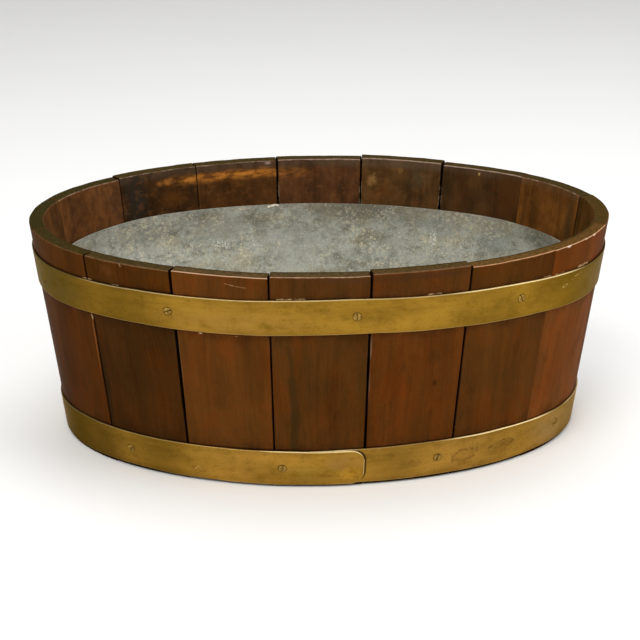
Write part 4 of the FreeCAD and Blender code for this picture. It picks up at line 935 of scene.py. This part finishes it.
def hoop(name, low, high, start_deg, end_deg, rise_from, rise_to, top, foot, material, screws, dull_and_shade, bright, shade, tuck=0.0, thickness=1.6):
    """A strip that runs once round and laps over itself.
    Angles grow anticlockwise; the outer end is at end_deg."""
    t = np.linspace(math.radians(start_deg), math.radians(end_deg), 4000)
    zm = (low + high) / 2
    s = np.concatenate([[0], np.cumsum(np.diff(t) * speed((t[1:] + t[:-1]) / 2, zm))])
    total = s[-1]
    along = np.linspace(0, total, int(total / 2.6))
    tip = np.array([0.0, 0.08, 0.2, 0.38, 0.62, 0.95, 1.4, 2.0, 2.8, 3.8, 5.0, 6.4, 8.0, 9.7, 11.5, 13.6])
    along = np.unique(np.concatenate([tip[:6], along[(along > 2.0) & (along < total - 15.0)], total - tip]))
    th = np.interp(along, s, t)
    half = (high - low) / 2
    # section: outer face, upper edge, inner face, lower edge
    e, q = 0.75, 0.25
    fine = np.array([0.0, 0.3, 0.65, 1.1, 1.7])
    across = np.concatenate([-half + e + fine, np.linspace(-half + e + 3.2, half - e - 3.2, 13), (half - e - fine)[::-1]])
    quarter = [math.radians(k) for k in (22, 45, 68, 90)]
    section = [(yv, thickness) for yv in across]
    section += [(half - e + e * math.sin(k), thickness - e + e * math.cos(k)) for k in quarter]
    section += [(half - q + q * math.cos(k), q - q * math.sin(k)) for k in (0.0, math.radians(45))]
    section += [(yv, 0.0) for yv in across[::-1]]
    section += [(-half + q - q * math.sin(k), q - q * math.cos(k)) for k in (math.radians(45), math.radians(90))]
    section += [(-half + e - e * math.sin(k), thickness - e + e * math.cos(k)) for k in quarter[::-1]]
    section = np.array(section)
    m = len(section)
    # rounded corners of the outer end
    rc = 14.0
    d_end = total - along
    cut = np.where(d_end < rc, rc - np.sqrt(np.maximum(rc ** 2 - (rc - d_end) ** 2, 0)), 0.0)
    scale = (half - cut) / half
    AL, SE = np.meshgrid(np.arange(len(along)), np.arange(m), indexing="ij")
    thg, dg = th[AL], d_end[AL]
    yv = section[SE, 0] * scale[AL]
    # the end's own arris is rounded over
    brow = thickness - (e - np.sqrt(np.maximum(e ** 2 - np.maximum(e - dg, 0) ** 2, 0)))
    dt = np.minimum(section[SE, 1], brow)
    lift = smooth(math.radians(rise_from), math.radians(rise_to), thg) * LAP + 0.06 * smooth(22.0, 0.0, dg)
    deg = np.degrees(thg)
    zt, zb = high + curve(top, deg), low + curve(foot, deg)
    edge_n = 0.16 * vnoise(np.stack([np.cos(thg) * 14, np.sin(thg) * 10, np.sign(yv)], -1), 41)
    z = zb + (zt - zb) * (yv + half) / (2 * half) + edge_n * np.abs(yv) / half
    off = HOOP_GAP + dt + lift + bulge(thg, yv) - tuck * lap_zone(deg)
    v = wall(thg, z, off).reshape(-1, 3)
    idx = np.arange(len(along) * m).reshape(len(along), m)
    nxt = np.roll(idx, -1, axis=1)
    f4 = np.stack([idx[:-1], idx[1:], nxt[1:], nxt[:-1]], -1).reshape(-1, 4)
    faces = [tuple(f) for f in f4]
    faces.append(tuple(range(m)))
    faces.append(tuple(range((len(along) - 1) * m + m - 1, (len(along) - 1) * m - 1, -1)))
    me = mesh_from(name, v, faces)
    ob = bpy.data.objects.new(name, me)
    bpy.context.scene.collection.objects.link(ob)
    cutters = []
    for k, (a, zz, turn, out) in enumerate(screws):
        prof = [(0, 3.0), (4.95 + 3.0, 3.0), (4.95, 0.0), (4.38, -0.42), (2.2, -2.55), (2.2, -6.0), (0, -6.0)]
        cv, cf = lathe(prof, 40)
        cm = mesh_from("cutter", cv, cf)
        M = screw_frame(a, zz, turn, out)
        M[:3, 3] *= 0.001
        cm.transform(Matrix(M.tolist()))
        co = bpy.data.objects.new("cutter_%d" % k, cm)
        bpy.context.scene.collection.objects.link(co)
        cutters.append(co)
    bpy.context.view_layer.update()
    boolean_cut(ob, cutters)
    me = ob.data
    co = np.zeros(len(me.vertices) * 3, np.float32)
    me.vertices.foreach_get("co", co)
    co = co.reshape(-1, 3).astype(float) * 1000
    zc = co[:, 2]
    a, b = semi(zc)
    ta = np.arctan2(co[:, 1] / b, co[:, 0] / a)
    foot_on = wall(ta, zc, 0.0)
    outw = np.hypot(co[:, 0], co[:, 1]) - np.hypot(foot_on[:, 0], foot_on[:, 1])
    rel = np.mod(ta - t[0], 2 * math.pi)
    # the outer layer of the lap belongs to the far end of the strip
    y0 = ((zc - low - curve(foot, np.degrees(rel + t[0]))) / (high + curve(top, np.degrees(rel + t[0])) - low - curve(foot, np.degrees(rel + t[0]))) - 0.5) * 2 * half
    flat_out = outw - bulge(ta, y0) + tuck * lap_zone(np.degrees(ta))
    over = (rel < t[-1] - t[0] - 2 * math.pi) & (flat_out > HOOP_GAP + (1.6 + LAP) / 2)
    rel = np.where(over, rel + 2 * math.pi, rel)
    arc_s = np.interp(rel, t - t[0], s)
    dd = np.degrees(rel + t[0])
    zt, zb = high + curve(top, dd), low + curve(foot, dd)
    frac = (zc - zb) / (zt - zb)
    yv = (frac - 0.5) * 2 * half
    d_e = total - arc_s
    cut = np.where(d_e < rc, rc - np.sqrt(np.maximum(rc ** 2 - (rc - np.maximum(d_e, 0)) ** 2, 0)), 0.0)
    rim = np.minimum(half - cut - np.abs(yv), np.where(d_e < 20, d_e, 99.0))
    # painted highlight along the top arris, set per angle by bright, and all round the lap's end
    shine = np.full(len(co), bright[0])
    for centre, spread, amt in bright[1:]:
        dist = np.abs(np.mod(np.degrees(ta) - centre + 180, 360) - 180)
        shine = np.maximum(shine, amt * smooth(spread, spread * 0.5, dist))
    shine = np.where(d_e < 30, np.where(yv > -12, 1.0, 0.4), np.where(yv > 0, shine, 0.15))
    top_edge = smooth(1.3, 0.55, rim) * shine
    # darker in the dish round each screw
    ring = np.zeros(len(co))
    for a_s, z_s, turn, out in screws:
        M = screw_frame(a_s, z_s, turn, out)
        rel_p = co - M[:3, 3]
        h_s = rel_p @ M[:3, 2]
        r_s = np.sqrt(np.maximum((rel_p ** 2).sum(1) - h_s ** 2, 0))
        ring = np.where(np.abs(h_s) < 4, np.maximum(ring, smooth(4.93, 4.45, r_s)), ring)
    attr(ob, "ring", ring)
    attr(ob, "strip", np.stack([arc_s, yv, 0.2 * outw], -1))
    attr(ob, "edge", top_edge)
    # tarnish and painted shade by angle; the painted shade darkens the hoop's left and right ends
    k = np.zeros(len(co))
    for centre, spread, amt in dull_and_shade:
        dist = np.abs(np.mod(np.degrees(ta) - centre + 180, 360) - 180)
        k = np.maximum(k, amt * smooth(spread, 0.0, dist))
    attr(ob, "tarnish_and_shade", k)
    sa = np.array([g[0] for g in shade], float)
    here = np.mod(np.degrees(ta) - sa[0], 360.0) + sa[0]
    light = np.interp(here, np.append(sa, sa[0] + 360), np.array([g[1] for g in shade] + [shade[0][1]]))
    blue = np.interp(here, np.append(sa, sa[0] + 360), np.array([g[2] for g in shade] + [shade[0][2]]))
    attr(ob, "shade", np.stack([light, light, light * blue], -1))
    me.materials.clear()
    me.materials.append(material)
    me.polygons.foreach_set("use_smooth", np.ones(len(me.polygons), bool))
    me.update()
    smooth_by_angle(ob, 38)
    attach(ob, "tub")
    return ob


def smooth_by_angle(ob, degrees):
    """Marks sharp edges by angle, so flat rims shade crisp."""
    me = ob.data
    me.update()
    try:
        me.set_sharp_from_angle(angle=math.radians(degrees))
    except AttributeError:
        pass


LAP = 1.74
HOOP_GAP = 0.24
LOW = dict(start_deg=266.0, end_deg=637.3, rise_from=600.0, rise_to=621.0, top=LO_TOP, foot=LO_FOOT,
           dull_and_shade=((200, 32, 1.0), (338, 16, 0.35), (150, 30, 0.7), (20, 30, 0.6), (214, 14, 0.75), (233, 14, 0.50), (285, 9, 0.30)),
           shade=((212, 0.84, 1.0), (234, 0.93, 0.74), (250, 1.11, 1.0), (268, 1.04, 0.82), (285, 0.96, 0.94),
                  (303, 1.02, 1.12), (318, 0.86, 0.94), (332, 0.93, 0.90), (380, 1.0, 1.0), (540, 0.9, 1.0)),
           bright=(0.16, (266, 12, 0.85), (311, 20, 1.0), (345, 14, 0.5)))
UPP = dict(start_deg=80.0, end_deg=452.0, rise_from=416.0, rise_to=436.0, top=UP_TOP, foot=UP_FOOT, tuck=0.42,
           dull_and_shade=((198, 42, 1.0), (342, 40, 0.9), (20, 30, 0.7), (150, 30, 0.6), (226, 18, 0.55), (301, 14, 0.30), (318, 12, 0.35)),
           shade=((206, 0.84, 1.04), (226, 0.87, 0.78), (250, 0.96, 0.95), (266, 1.02, 0.90), (286, 1.0, 0.87),
                  (301, 0.97, 0.83), (318, 0.86, 0.82), (332, 0.87, 0.95), (380, 1.0, 1.0), (540, 0.9, 1.0)),
           bright=(0.08, (236, 24, 0.40), (272, 32, 0.50), (310, 24, 0.90)))


def seat(screws, spec):
    """Adds how far out of the wall each screw's face sits."""
    out = []
    for a, z, turn in screws:
        d = a
        while d < spec["end_deg"] - 360:
            d += 360
        rise = float(smooth(spec["rise_from"], spec["rise_to"], d)) * LAP
        t = math.radians(a)
        b = float(bulge(np.array([t]), np.zeros(1))[0]) - spec.get("tuck", 0.0) * float(lap_zone(a))
        out.append((a, z, turn, HOOP_GAP + 1.6 + rise + b))
    return out


up_wave = seat(UPPER_SCREWS, UPP)
lo_wave = seat(LOWER_SCREWS, LOW)



def strip_u(start, end, z):
    t = np.linspace(math.radians(start), math.radians(end), 800)
    return float(np.trapz(speed(t, np.full_like(t, z)), t))


upper_mat = brass("brass_upper", blotch=0.42, lap_end_shadow=(strip_u(80.0, 92.0, 192.9), 19.4, 14.0),
                  stains=[(300, 3, 14, 7, 0.4), (1330, -2, 16, 8, 0.5)],
                  tints=[(515, 0, 50, 30, (104, 90, 52), 0.55), (1140, -2, 26, 30, (122, 100, 58), 0.55), (740, -6, 60, 12, (166, 124, 62), 0.4)],
                  strokes=[(1090, 4.0, 1095, 5.5, 1.8, 0.6), (1107, 12.0, 1118, 14.0, 0.9, 0.5), (1100, 4.0, 1104, 10.0, 0.6, 0.4)])
LOW_END = strip_u(266.0, 637.3, 23.3)
lower_mat = brass("brass_lower", 1.22, grey=1.22, tints=[
                      (285, 0, 36, 26, (152, 124, 88), 0.65), (LOW_END - 22, 7, 16, 9, (140, 102, 66), 0.45),
                      (LOW_END - 15, -7, 11, 7, (188, 143, 46), 0.50), (LOW_END - 52, -6, 24, 10, (126, 106, 46), 0.45)], lap_end_shadow=(strip_u(266.0, 277.3, 23.3), 20.9, 14.0),
                  stains=[(161, -2, 10.5, 7.0, 0.52), (206, 1.5, 13, 4.2, 0.66), (62, 9, 9, 5, 0.25), (104, -5, 5, 4, 0.4), (1328, -9, 8, 4, 0.4), (700, 4, 22, 8, 0.5)],
                  strokes=[(1324, -10.0, 1328, -6.0, 0.8, 0.45), (1328, -6.0, 1330, -9.5, 0.7, 0.4)])
uh = hoop("upper_hoop_strip", 173.5, 212.3, material=upper_mat, screws=up_wave, **UPP)
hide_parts("upper_hoop")
lh = hoop("lower_hoop_strip", 2.4, 44.2, material=lower_mat, screws=lo_wave, **LOW)
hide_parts("lower_hoop")

# -------------------------------------------------------------------- screws


def screw_mesh():
    """One slotted countersunk screw, head face at z = 0, in millimetres."""
    prof = [(0, 0.16), (1.5, 0.15), (3.0, 0.08), (3.9, -0.02), (4.15, -0.10), (4.2, -0.24),
            (2.05, -2.3), (2.0, -2.6), (2.0, -8.7), (0.35, -12.6), (0, -12.7)]
    v, f = lathe(prof, 48)
    me = mesh_from("screw", v, f)
    ob = bpy.data.objects.new("screw", me)
    bpy.context.scene.collection.objects.link(ob)
    w, l = 0.45, 6.0
    cv = [(-l, -w, -0.95), (l, -w, -0.95), (l, w, -0.95), (-l, w, -0.95), (-l, -w * 1.15, 1), (l, -w * 1.15, 1), (l, w * 1.15, 1), (-l, w * 1.15, 1)]
    cf = [(3, 2, 1, 0), (4, 5, 6, 7), (0, 1, 5, 4), (1, 2, 6, 5), (2, 3, 7, 6), (3, 0, 4, 7)]
    cm = mesh_from("slot", cv, cf)
    c = bpy.data.objects.new("slot", cm)
    bpy.context.scene.collection.objects.link(c)
    bpy.context.view_layer.update()
    boolean_cut(ob, [c])
    me = ob.data
    bpy.data.objects.remove(ob)
    return me


def screws(name, places, material, node):
    base = screw_mesh()
    import bmesh
    bm = bmesh.new()
    for a, z, turn, lift in places:
        M = screw_frame(a, z, turn, lift - 0.02)
        M[:3, 3] *= 0.001
        me = base.copy()
        me.transform(Matrix(M.tolist()))
        bm.from_mesh(me)
        bpy.data.meshes.remove(me)
    me = bpy.data.meshes.new(name)
    bm.to_mesh(me)
    bm.free()
    ob = bpy.data.objects.new(name, me)
    bpy.context.scene.collection.objects.link(ob)
    me.materials.append(material)
    # darker in the slot and round the rim of the head; the screw at 197.4° is darkened all over as painted shade
    # against its glancing reflection
    n = len(base.vertices)
    co = np.zeros(n * 3, np.float32)
    base.vertices.foreach_get("co", co)
    co = co.reshape(-1, 3).astype(float) * 1000
    e = np.maximum(smooth(-0.25, -0.6, co[:, 2]), smooth(4.0, 4.18, np.hypot(co[:, 0], co[:, 1])))
    attr(ob, "edge", np.concatenate([np.maximum(e, 1.0 if abs(p[0] - 197.4) < 3 else 0.0) for p in places]))
    me.polygons.foreach_set("use_smooth", np.ones(len(me.polygons), bool))
    smooth_by_angle(ob, 35)
    bpy.data.meshes.remove(base)
    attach(ob, "tub")
    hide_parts(node)
    return ob


smat = screw_brass()
screws("upper_screw_heads", up_wave, smat, "upper_hoop_screws")
screws("lower_screw_heads", lo_wave, smat, "lower_hoop_screws")

# --------------------------------------------------------------------- liner
LZ0, LZ1 = 22.3, 189.0
LT = 0.9


def liner_off(z):
    return -T - 5.0 - 3.0 * (z - LZ0) / (LZ1 - LZ0)


SEAM_X, SEAM_W = -30.0, 16.0      # upright lap of the sheet, in front


def liner_wall():
    th = np.linspace(0, 2 * math.pi, 720, endpoint=False)
    # finer steps where the lap's edges run, at any height
    close = np.radians(np.arange(258.5, 270.0, 0.06))
    th = np.sort(np.concatenate([th[(th < close[0] - 0.004) | (th > close[-1] + 0.004)], close]))
    n = len(th)
    rows_in = np.concatenate([[0, 0.4], np.linspace(2, 98, 46), [99.4, 100]]) / 100
    # loop: up the outside, over the rim, down the inside
    prof = [(f, 0.0) for f in rows_in] + [(1.0, -LT)] + [(f, -LT) for f in rows_in[::-1][1:]]
    prof = np.array(prof)
    m = len(prof)
    TH, PR = np.meshgrid(th, np.arange(m), indexing="ij")
    f = prof[PR, 0]
    far = 0.60 + 0.17 * smooth(-0.3, 0.3, np.cos(TH))
    dip = 3.1 * np.clip((np.abs(np.cos(TH)) - far) / (1 - far), 0, 1) ** 1.1
    rim = LZ1 - 3.2 * np.cos(TH) - 0.95 - dip + 0.5 * vnoise(np.stack([np.cos(TH) * 4, np.sin(TH) * 4, 0 * TH], -1), 61)
    z = LZ0 + f * (rim - LZ0)
    c3 = np.stack([np.cos(TH) * 3.2, np.sin(TH) * 3.2, z / 120], -1)
    dents = 0.9 * fbm(c3, 71, 3) * smooth(0.0, 0.25, f)
    small = 0.16 * fbm(np.stack([np.cos(TH) * 16, np.sin(TH) * 16, z / 22], -1), 73, 2)
    off = liner_off(z) + prof[PR, 1] - np.abs(dents) * 0.8 + small
    # the lap: the inner end of the sheet lies over the outer one, edges soldered
    at_x = semi(z)[0] * np.cos(TH) - SEAM_X
    wavy = 0.5 * vnoise(np.stack([z / 25, 0 * z, 0 * z], -1), 77)
    lap = smooth(SEAM_W / 2 + 0.9, SEAM_W / 2 - 0.3, np.abs(at_x + wavy)) * (np.sin(TH) < 0) * smooth(28.4, 30.0, z)
    bead = 0.35 * (np.exp(-((at_x + wavy + SEAM_W / 2 + 0.9) / 0.8) ** 2) + np.exp(-((at_x + wavy - SEAM_W / 2 - 0.9) / 0.8) ** 2)) * (np.sin(TH) < 0) * smooth(28.4, 31.0, z)
    off = off - np.where(prof[PR, 1] < 0, LT * 0.95 * lap + bead, -0.28 * smooth(1.2, -0.4, np.abs(at_x + SEAM_W / 2) - 0.6) * (np.sin(TH) < 0))
    v = wall(TH, z, off).reshape(-1, 3)
    idx = np.arange(n * m).reshape(n, m)
    nt = np.roll(idx, -1, axis=0)
    nj = np.roll(idx, -1, axis=1)
    ntj = np.roll(nt, -1, axis=1)
    quads = np.stack([idx, nt, ntj, nj], -1).reshape(-1, 4)
    ob = new_object("liner_wall_sheet", v, quads, ZINC)
    tt = np.linspace(0, 2 * math.pi, 2000)
    arc = np.concatenate([[0], np.cumsum(np.diff(tt) * speed(tt[1:], 120.0))])
    attr(ob, "sheet", np.stack([np.interp(TH, tt, arc).ravel(), z.ravel(), prof[PR, 1].ravel() * 20], -1))
    attr(ob, "solder", np.clip(smooth(4.5, 0.8, np.abs(np.abs(at_x + wavy) - SEAM_W / 2 - 0.8)) * (np.sin(TH) < 0), 0, 1).ravel())
    smooth_by_angle(ob, 40)
    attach(ob, "liner")
    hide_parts("liner_wall")
    return ob


def liner_base():
    n, rings = 240, 60
    z_top = 28.0
    th = np.linspace(0, 2 * math.pi, n, endpoint=False)
    a, b = semi(z_top)
    off = liner_off(z_top) - LT - 0.1
    ae, be = a + off, b + off
    verts, sheet = [], []

    def disc(zb, up):
        start = len(verts)
        verts.append((0, 0, zb))
        for k in range(1, rings + 1):
            r = k / rings
            for t in th:
                x, y = ae * r * math.cos(t), be * r * math.sin(t)
                verts.append((x, y, zb))
        return start

    top = disc(z_top, True)
    bot = disc(z_top - LT, False)
    faces = []
    for start, flip in ((top, False), (bot, True)):
        for k in range(n):
            f = (start, start + 1 + k, start + 1 + (k + 1) % n)
            faces.append(f[::-1] if flip else f)
        for r in range(rings - 1):
            for k in range(n):
                i0 = start + 1 + r * n + k
                i1 = start + 1 + r * n + (k + 1) % n
                f = (i0, i0 + n, i1 + n, i1)
                faces.append(f[::-1] if flip else f)
    # turned-down flange, welded between the two rims
    def ring(z, shrink):
        s = len(verts)
        for t in th:
            o = liner_off(z) - LT - 0.1 - shrink
            aa, bb = semi(z)
            verts.append(((aa + o) * math.cos(t), (bb + o) * math.sin(t), z))
        return s
    o1 = ring(22.8, 0.0)
    i1_ = ring(22.8, LT)
    i0_ = ring(z_top - LT, LT)
    te = top + 1 + (rings - 1) * n
    be_ = bot + 1 + (rings - 1) * n
    V = np.array(verts, float)
    # the lower disc ends where the flange's inside begins
    V[be_:be_ + n] = V[i0_:i0_ + n]
    for k in range(n):
        k2 = (k + 1) % n
        faces.append((te + k, o1 + k, o1 + k2, te + k2))
        faces.append((o1 + k, i1_ + k, i1_ + k2, o1 + k2))
        faces.append((i1_ + k, be_ + k, be_ + k2, i1_ + k2))
    keep = np.ones(len(V), bool)
    keep[i0_:i0_ + n] = False
    new = np.cumsum(keep) - 1
    faces = [tuple(int(new[i]) for i in f) for f in faces]
    V = V[keep]
    buck = 0.8 * fbm(np.stack([V[:, 0] / 90, V[:, 1] / 90, 0 * V[:, 0]], -1), 81, 3)
    rr = (V[:, 0] / ae) ** 2 + (V[:, 1] / be) ** 2
    V[:, 2] += np.where(V[:, 2] > 26, buck * smooth(1.0, 0.75, rr), 0)
    me = mesh_from("liner_base_sheet", V, faces)
    ob = bpy.data.objects.new("liner_base_sheet", me)
    bpy.context.scene.collection.objects.link(ob)
    me.materials.append(zinc("zinc_bottom", 0.55))
    me.polygons.foreach_set("use_smooth", np.ones(len(me.polygons), bool))
    attr(ob, "sheet", np.stack([V[:, 0] + 900, V[:, 1] * 0.5 + 20, V[:, 2]], -1))
    smooth_by_angle(ob, 40)
    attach(ob, "liner")
    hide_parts("liner_base")
    return ob


ZINC = zinc("zinc_sheet", 0.0)
liner_wall()
liner_base()

# ---------------------------------------------------------------------- base
for k, n in enumerate(("base_board_front", "base_board_middle", "base_board_back", "base_dowels")):
    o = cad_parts[n]
    o.data.materials.clear()
    o.data.materials.append(board_wood(n + "_wood", 7 * k + 1, (0.88, 1.08, 0.78, 1.0)[k]))
    if n != "base_dowels":
        bev = o.modifiers.new("eased", "BEVEL")
        bev.width = 0.0012
        bev.segments = 2
        bev.limit_method = "ANGLE"
        bev.angle_limit = math.radians(50)

# --------------------------------------------------------------------- stage
def floor():
    me = bpy.data.meshes.new("floor")
    s = 6.0
    me.from_pydata([(-s, -s, 0), (s, -s, 0), (s, s, 0), (-s, s, 0)], [], [(0, 1, 2, 3)])
    ob = bpy.data.objects.new("floor", me)
    bpy.context.scene.collection.objects.link(ob)
    ob.location.z = -0.0002
    N = Nodes("floor_paper")
    t = N.t.nodes.new("ShaderNodeTexCoord").outputs["Object"]
    col = N.mix(N.noise(t, 3.0, 3.0), (0.90, 0.90, 0.895, 1), (0.93, 0.93, 0.925, 1))
    me.materials.append(N.set(Base_Color=col, Roughness=0.9))


floor()


def area(name, loc, target, size, power, colour=(1, 1, 1), size_y=None):
    l = bpy.data.lights.new(name, "AREA")
    l.energy = power
    l.color = colour
    l.shape = "RECTANGLE" if size_y else "SQUARE"
    l.size = size
    if size_y:
        l.size_y = size_y
    o = bpy.data.objects.new(name, l)
    bpy.context.scene.collection.objects.link(o)
    o.location = loc
    d = Vector(target) - Vector(loc)
    o.rotation_mode = "QUATERNION"
    o.rotation_quaternion = d.to_track_quat("-Z", "Y")
    return o


area("key", (-0.9, -1.6, 2.2), (0, 0, 0.1), 1.6, 42.0, (1.0, 0.98, 0.945))
area("fill_right", (2.2, -0.8, 1.3), (0.1, 0, 0.1), 1.4, 26.0, (1.0, 0.98, 0.955))
area("top", (0.1, 0.5, 2.4), (0, 0.05, 0.1), 1.8, 26.0, (0.97, 0.99, 1.0))

world = bpy.data.worlds.new("studio")
bpy.context.scene.world = world
world.use_nodes = True
bg = world.node_tree.nodes["Background"] if "Background" in world.node_tree.nodes else world.node_tree.nodes.new("ShaderNodeBackground")
bg.inputs[0].default_value = (1.0, 0.99, 0.97, 1)
bg.inputs[1].default_value = 0.45

# -------------------------------------------------------------------- camera
def camera():
    f, dist = 1666.644, 1802.478
    phi, psi, roll = math.radians(22.064), math.radians(-2.891), math.radians(0.061)
    tx, ty = 0.251, -8.049
    back = np.array([math.sin(psi) * math.cos(phi), -math.cos(psi) * math.cos(phi), math.sin(phi)])
    pos = np.array([0, 0, 121.0]) + back * dist
    zf = -back
    xr = np.cross(zf, [0, 0, 1])
    xr /= np.linalg.norm(xr)
    yd = np.cross(zf, xr)
    c, s = math.cos(roll), math.sin(roll)
    xr, yd = c * xr - s * yd, s * xr + c * yd
    fwd = zf - xr * tx / f - yd * ty / f
    fwd /= np.linalg.norm(fwd)
    xr = xr - fwd * (xr @ fwd)
    xr /= np.linalg.norm(xr)
    up = np.cross(xr, fwd)
    cam = bpy.data.cameras.new("camera")
    cam.sensor_width = 36.0
    cam.sensor_fit = "HORIZONTAL"
    cam.lens = f * 36.0 / 640.0
    cam.clip_start, cam.clip_end = 0.05, 60
    ob = bpy.data.objects.new("camera", cam)
    bpy.context.scene.collection.objects.link(ob)
    m = np.eye(4)
    m[:3, 0], m[:3, 1], m[:3, 2], m[:3, 3] = xr, up, -fwd, pos * 0.001
    ob.matrix_world = Matrix(m.tolist())
    bpy.context.scene.camera = ob


camera()
bpy.context.scene.view_settings.view_transform = "Standard"
bpy.context.scene.view_settings.look = "None"

bpy.context.view_layer.update()
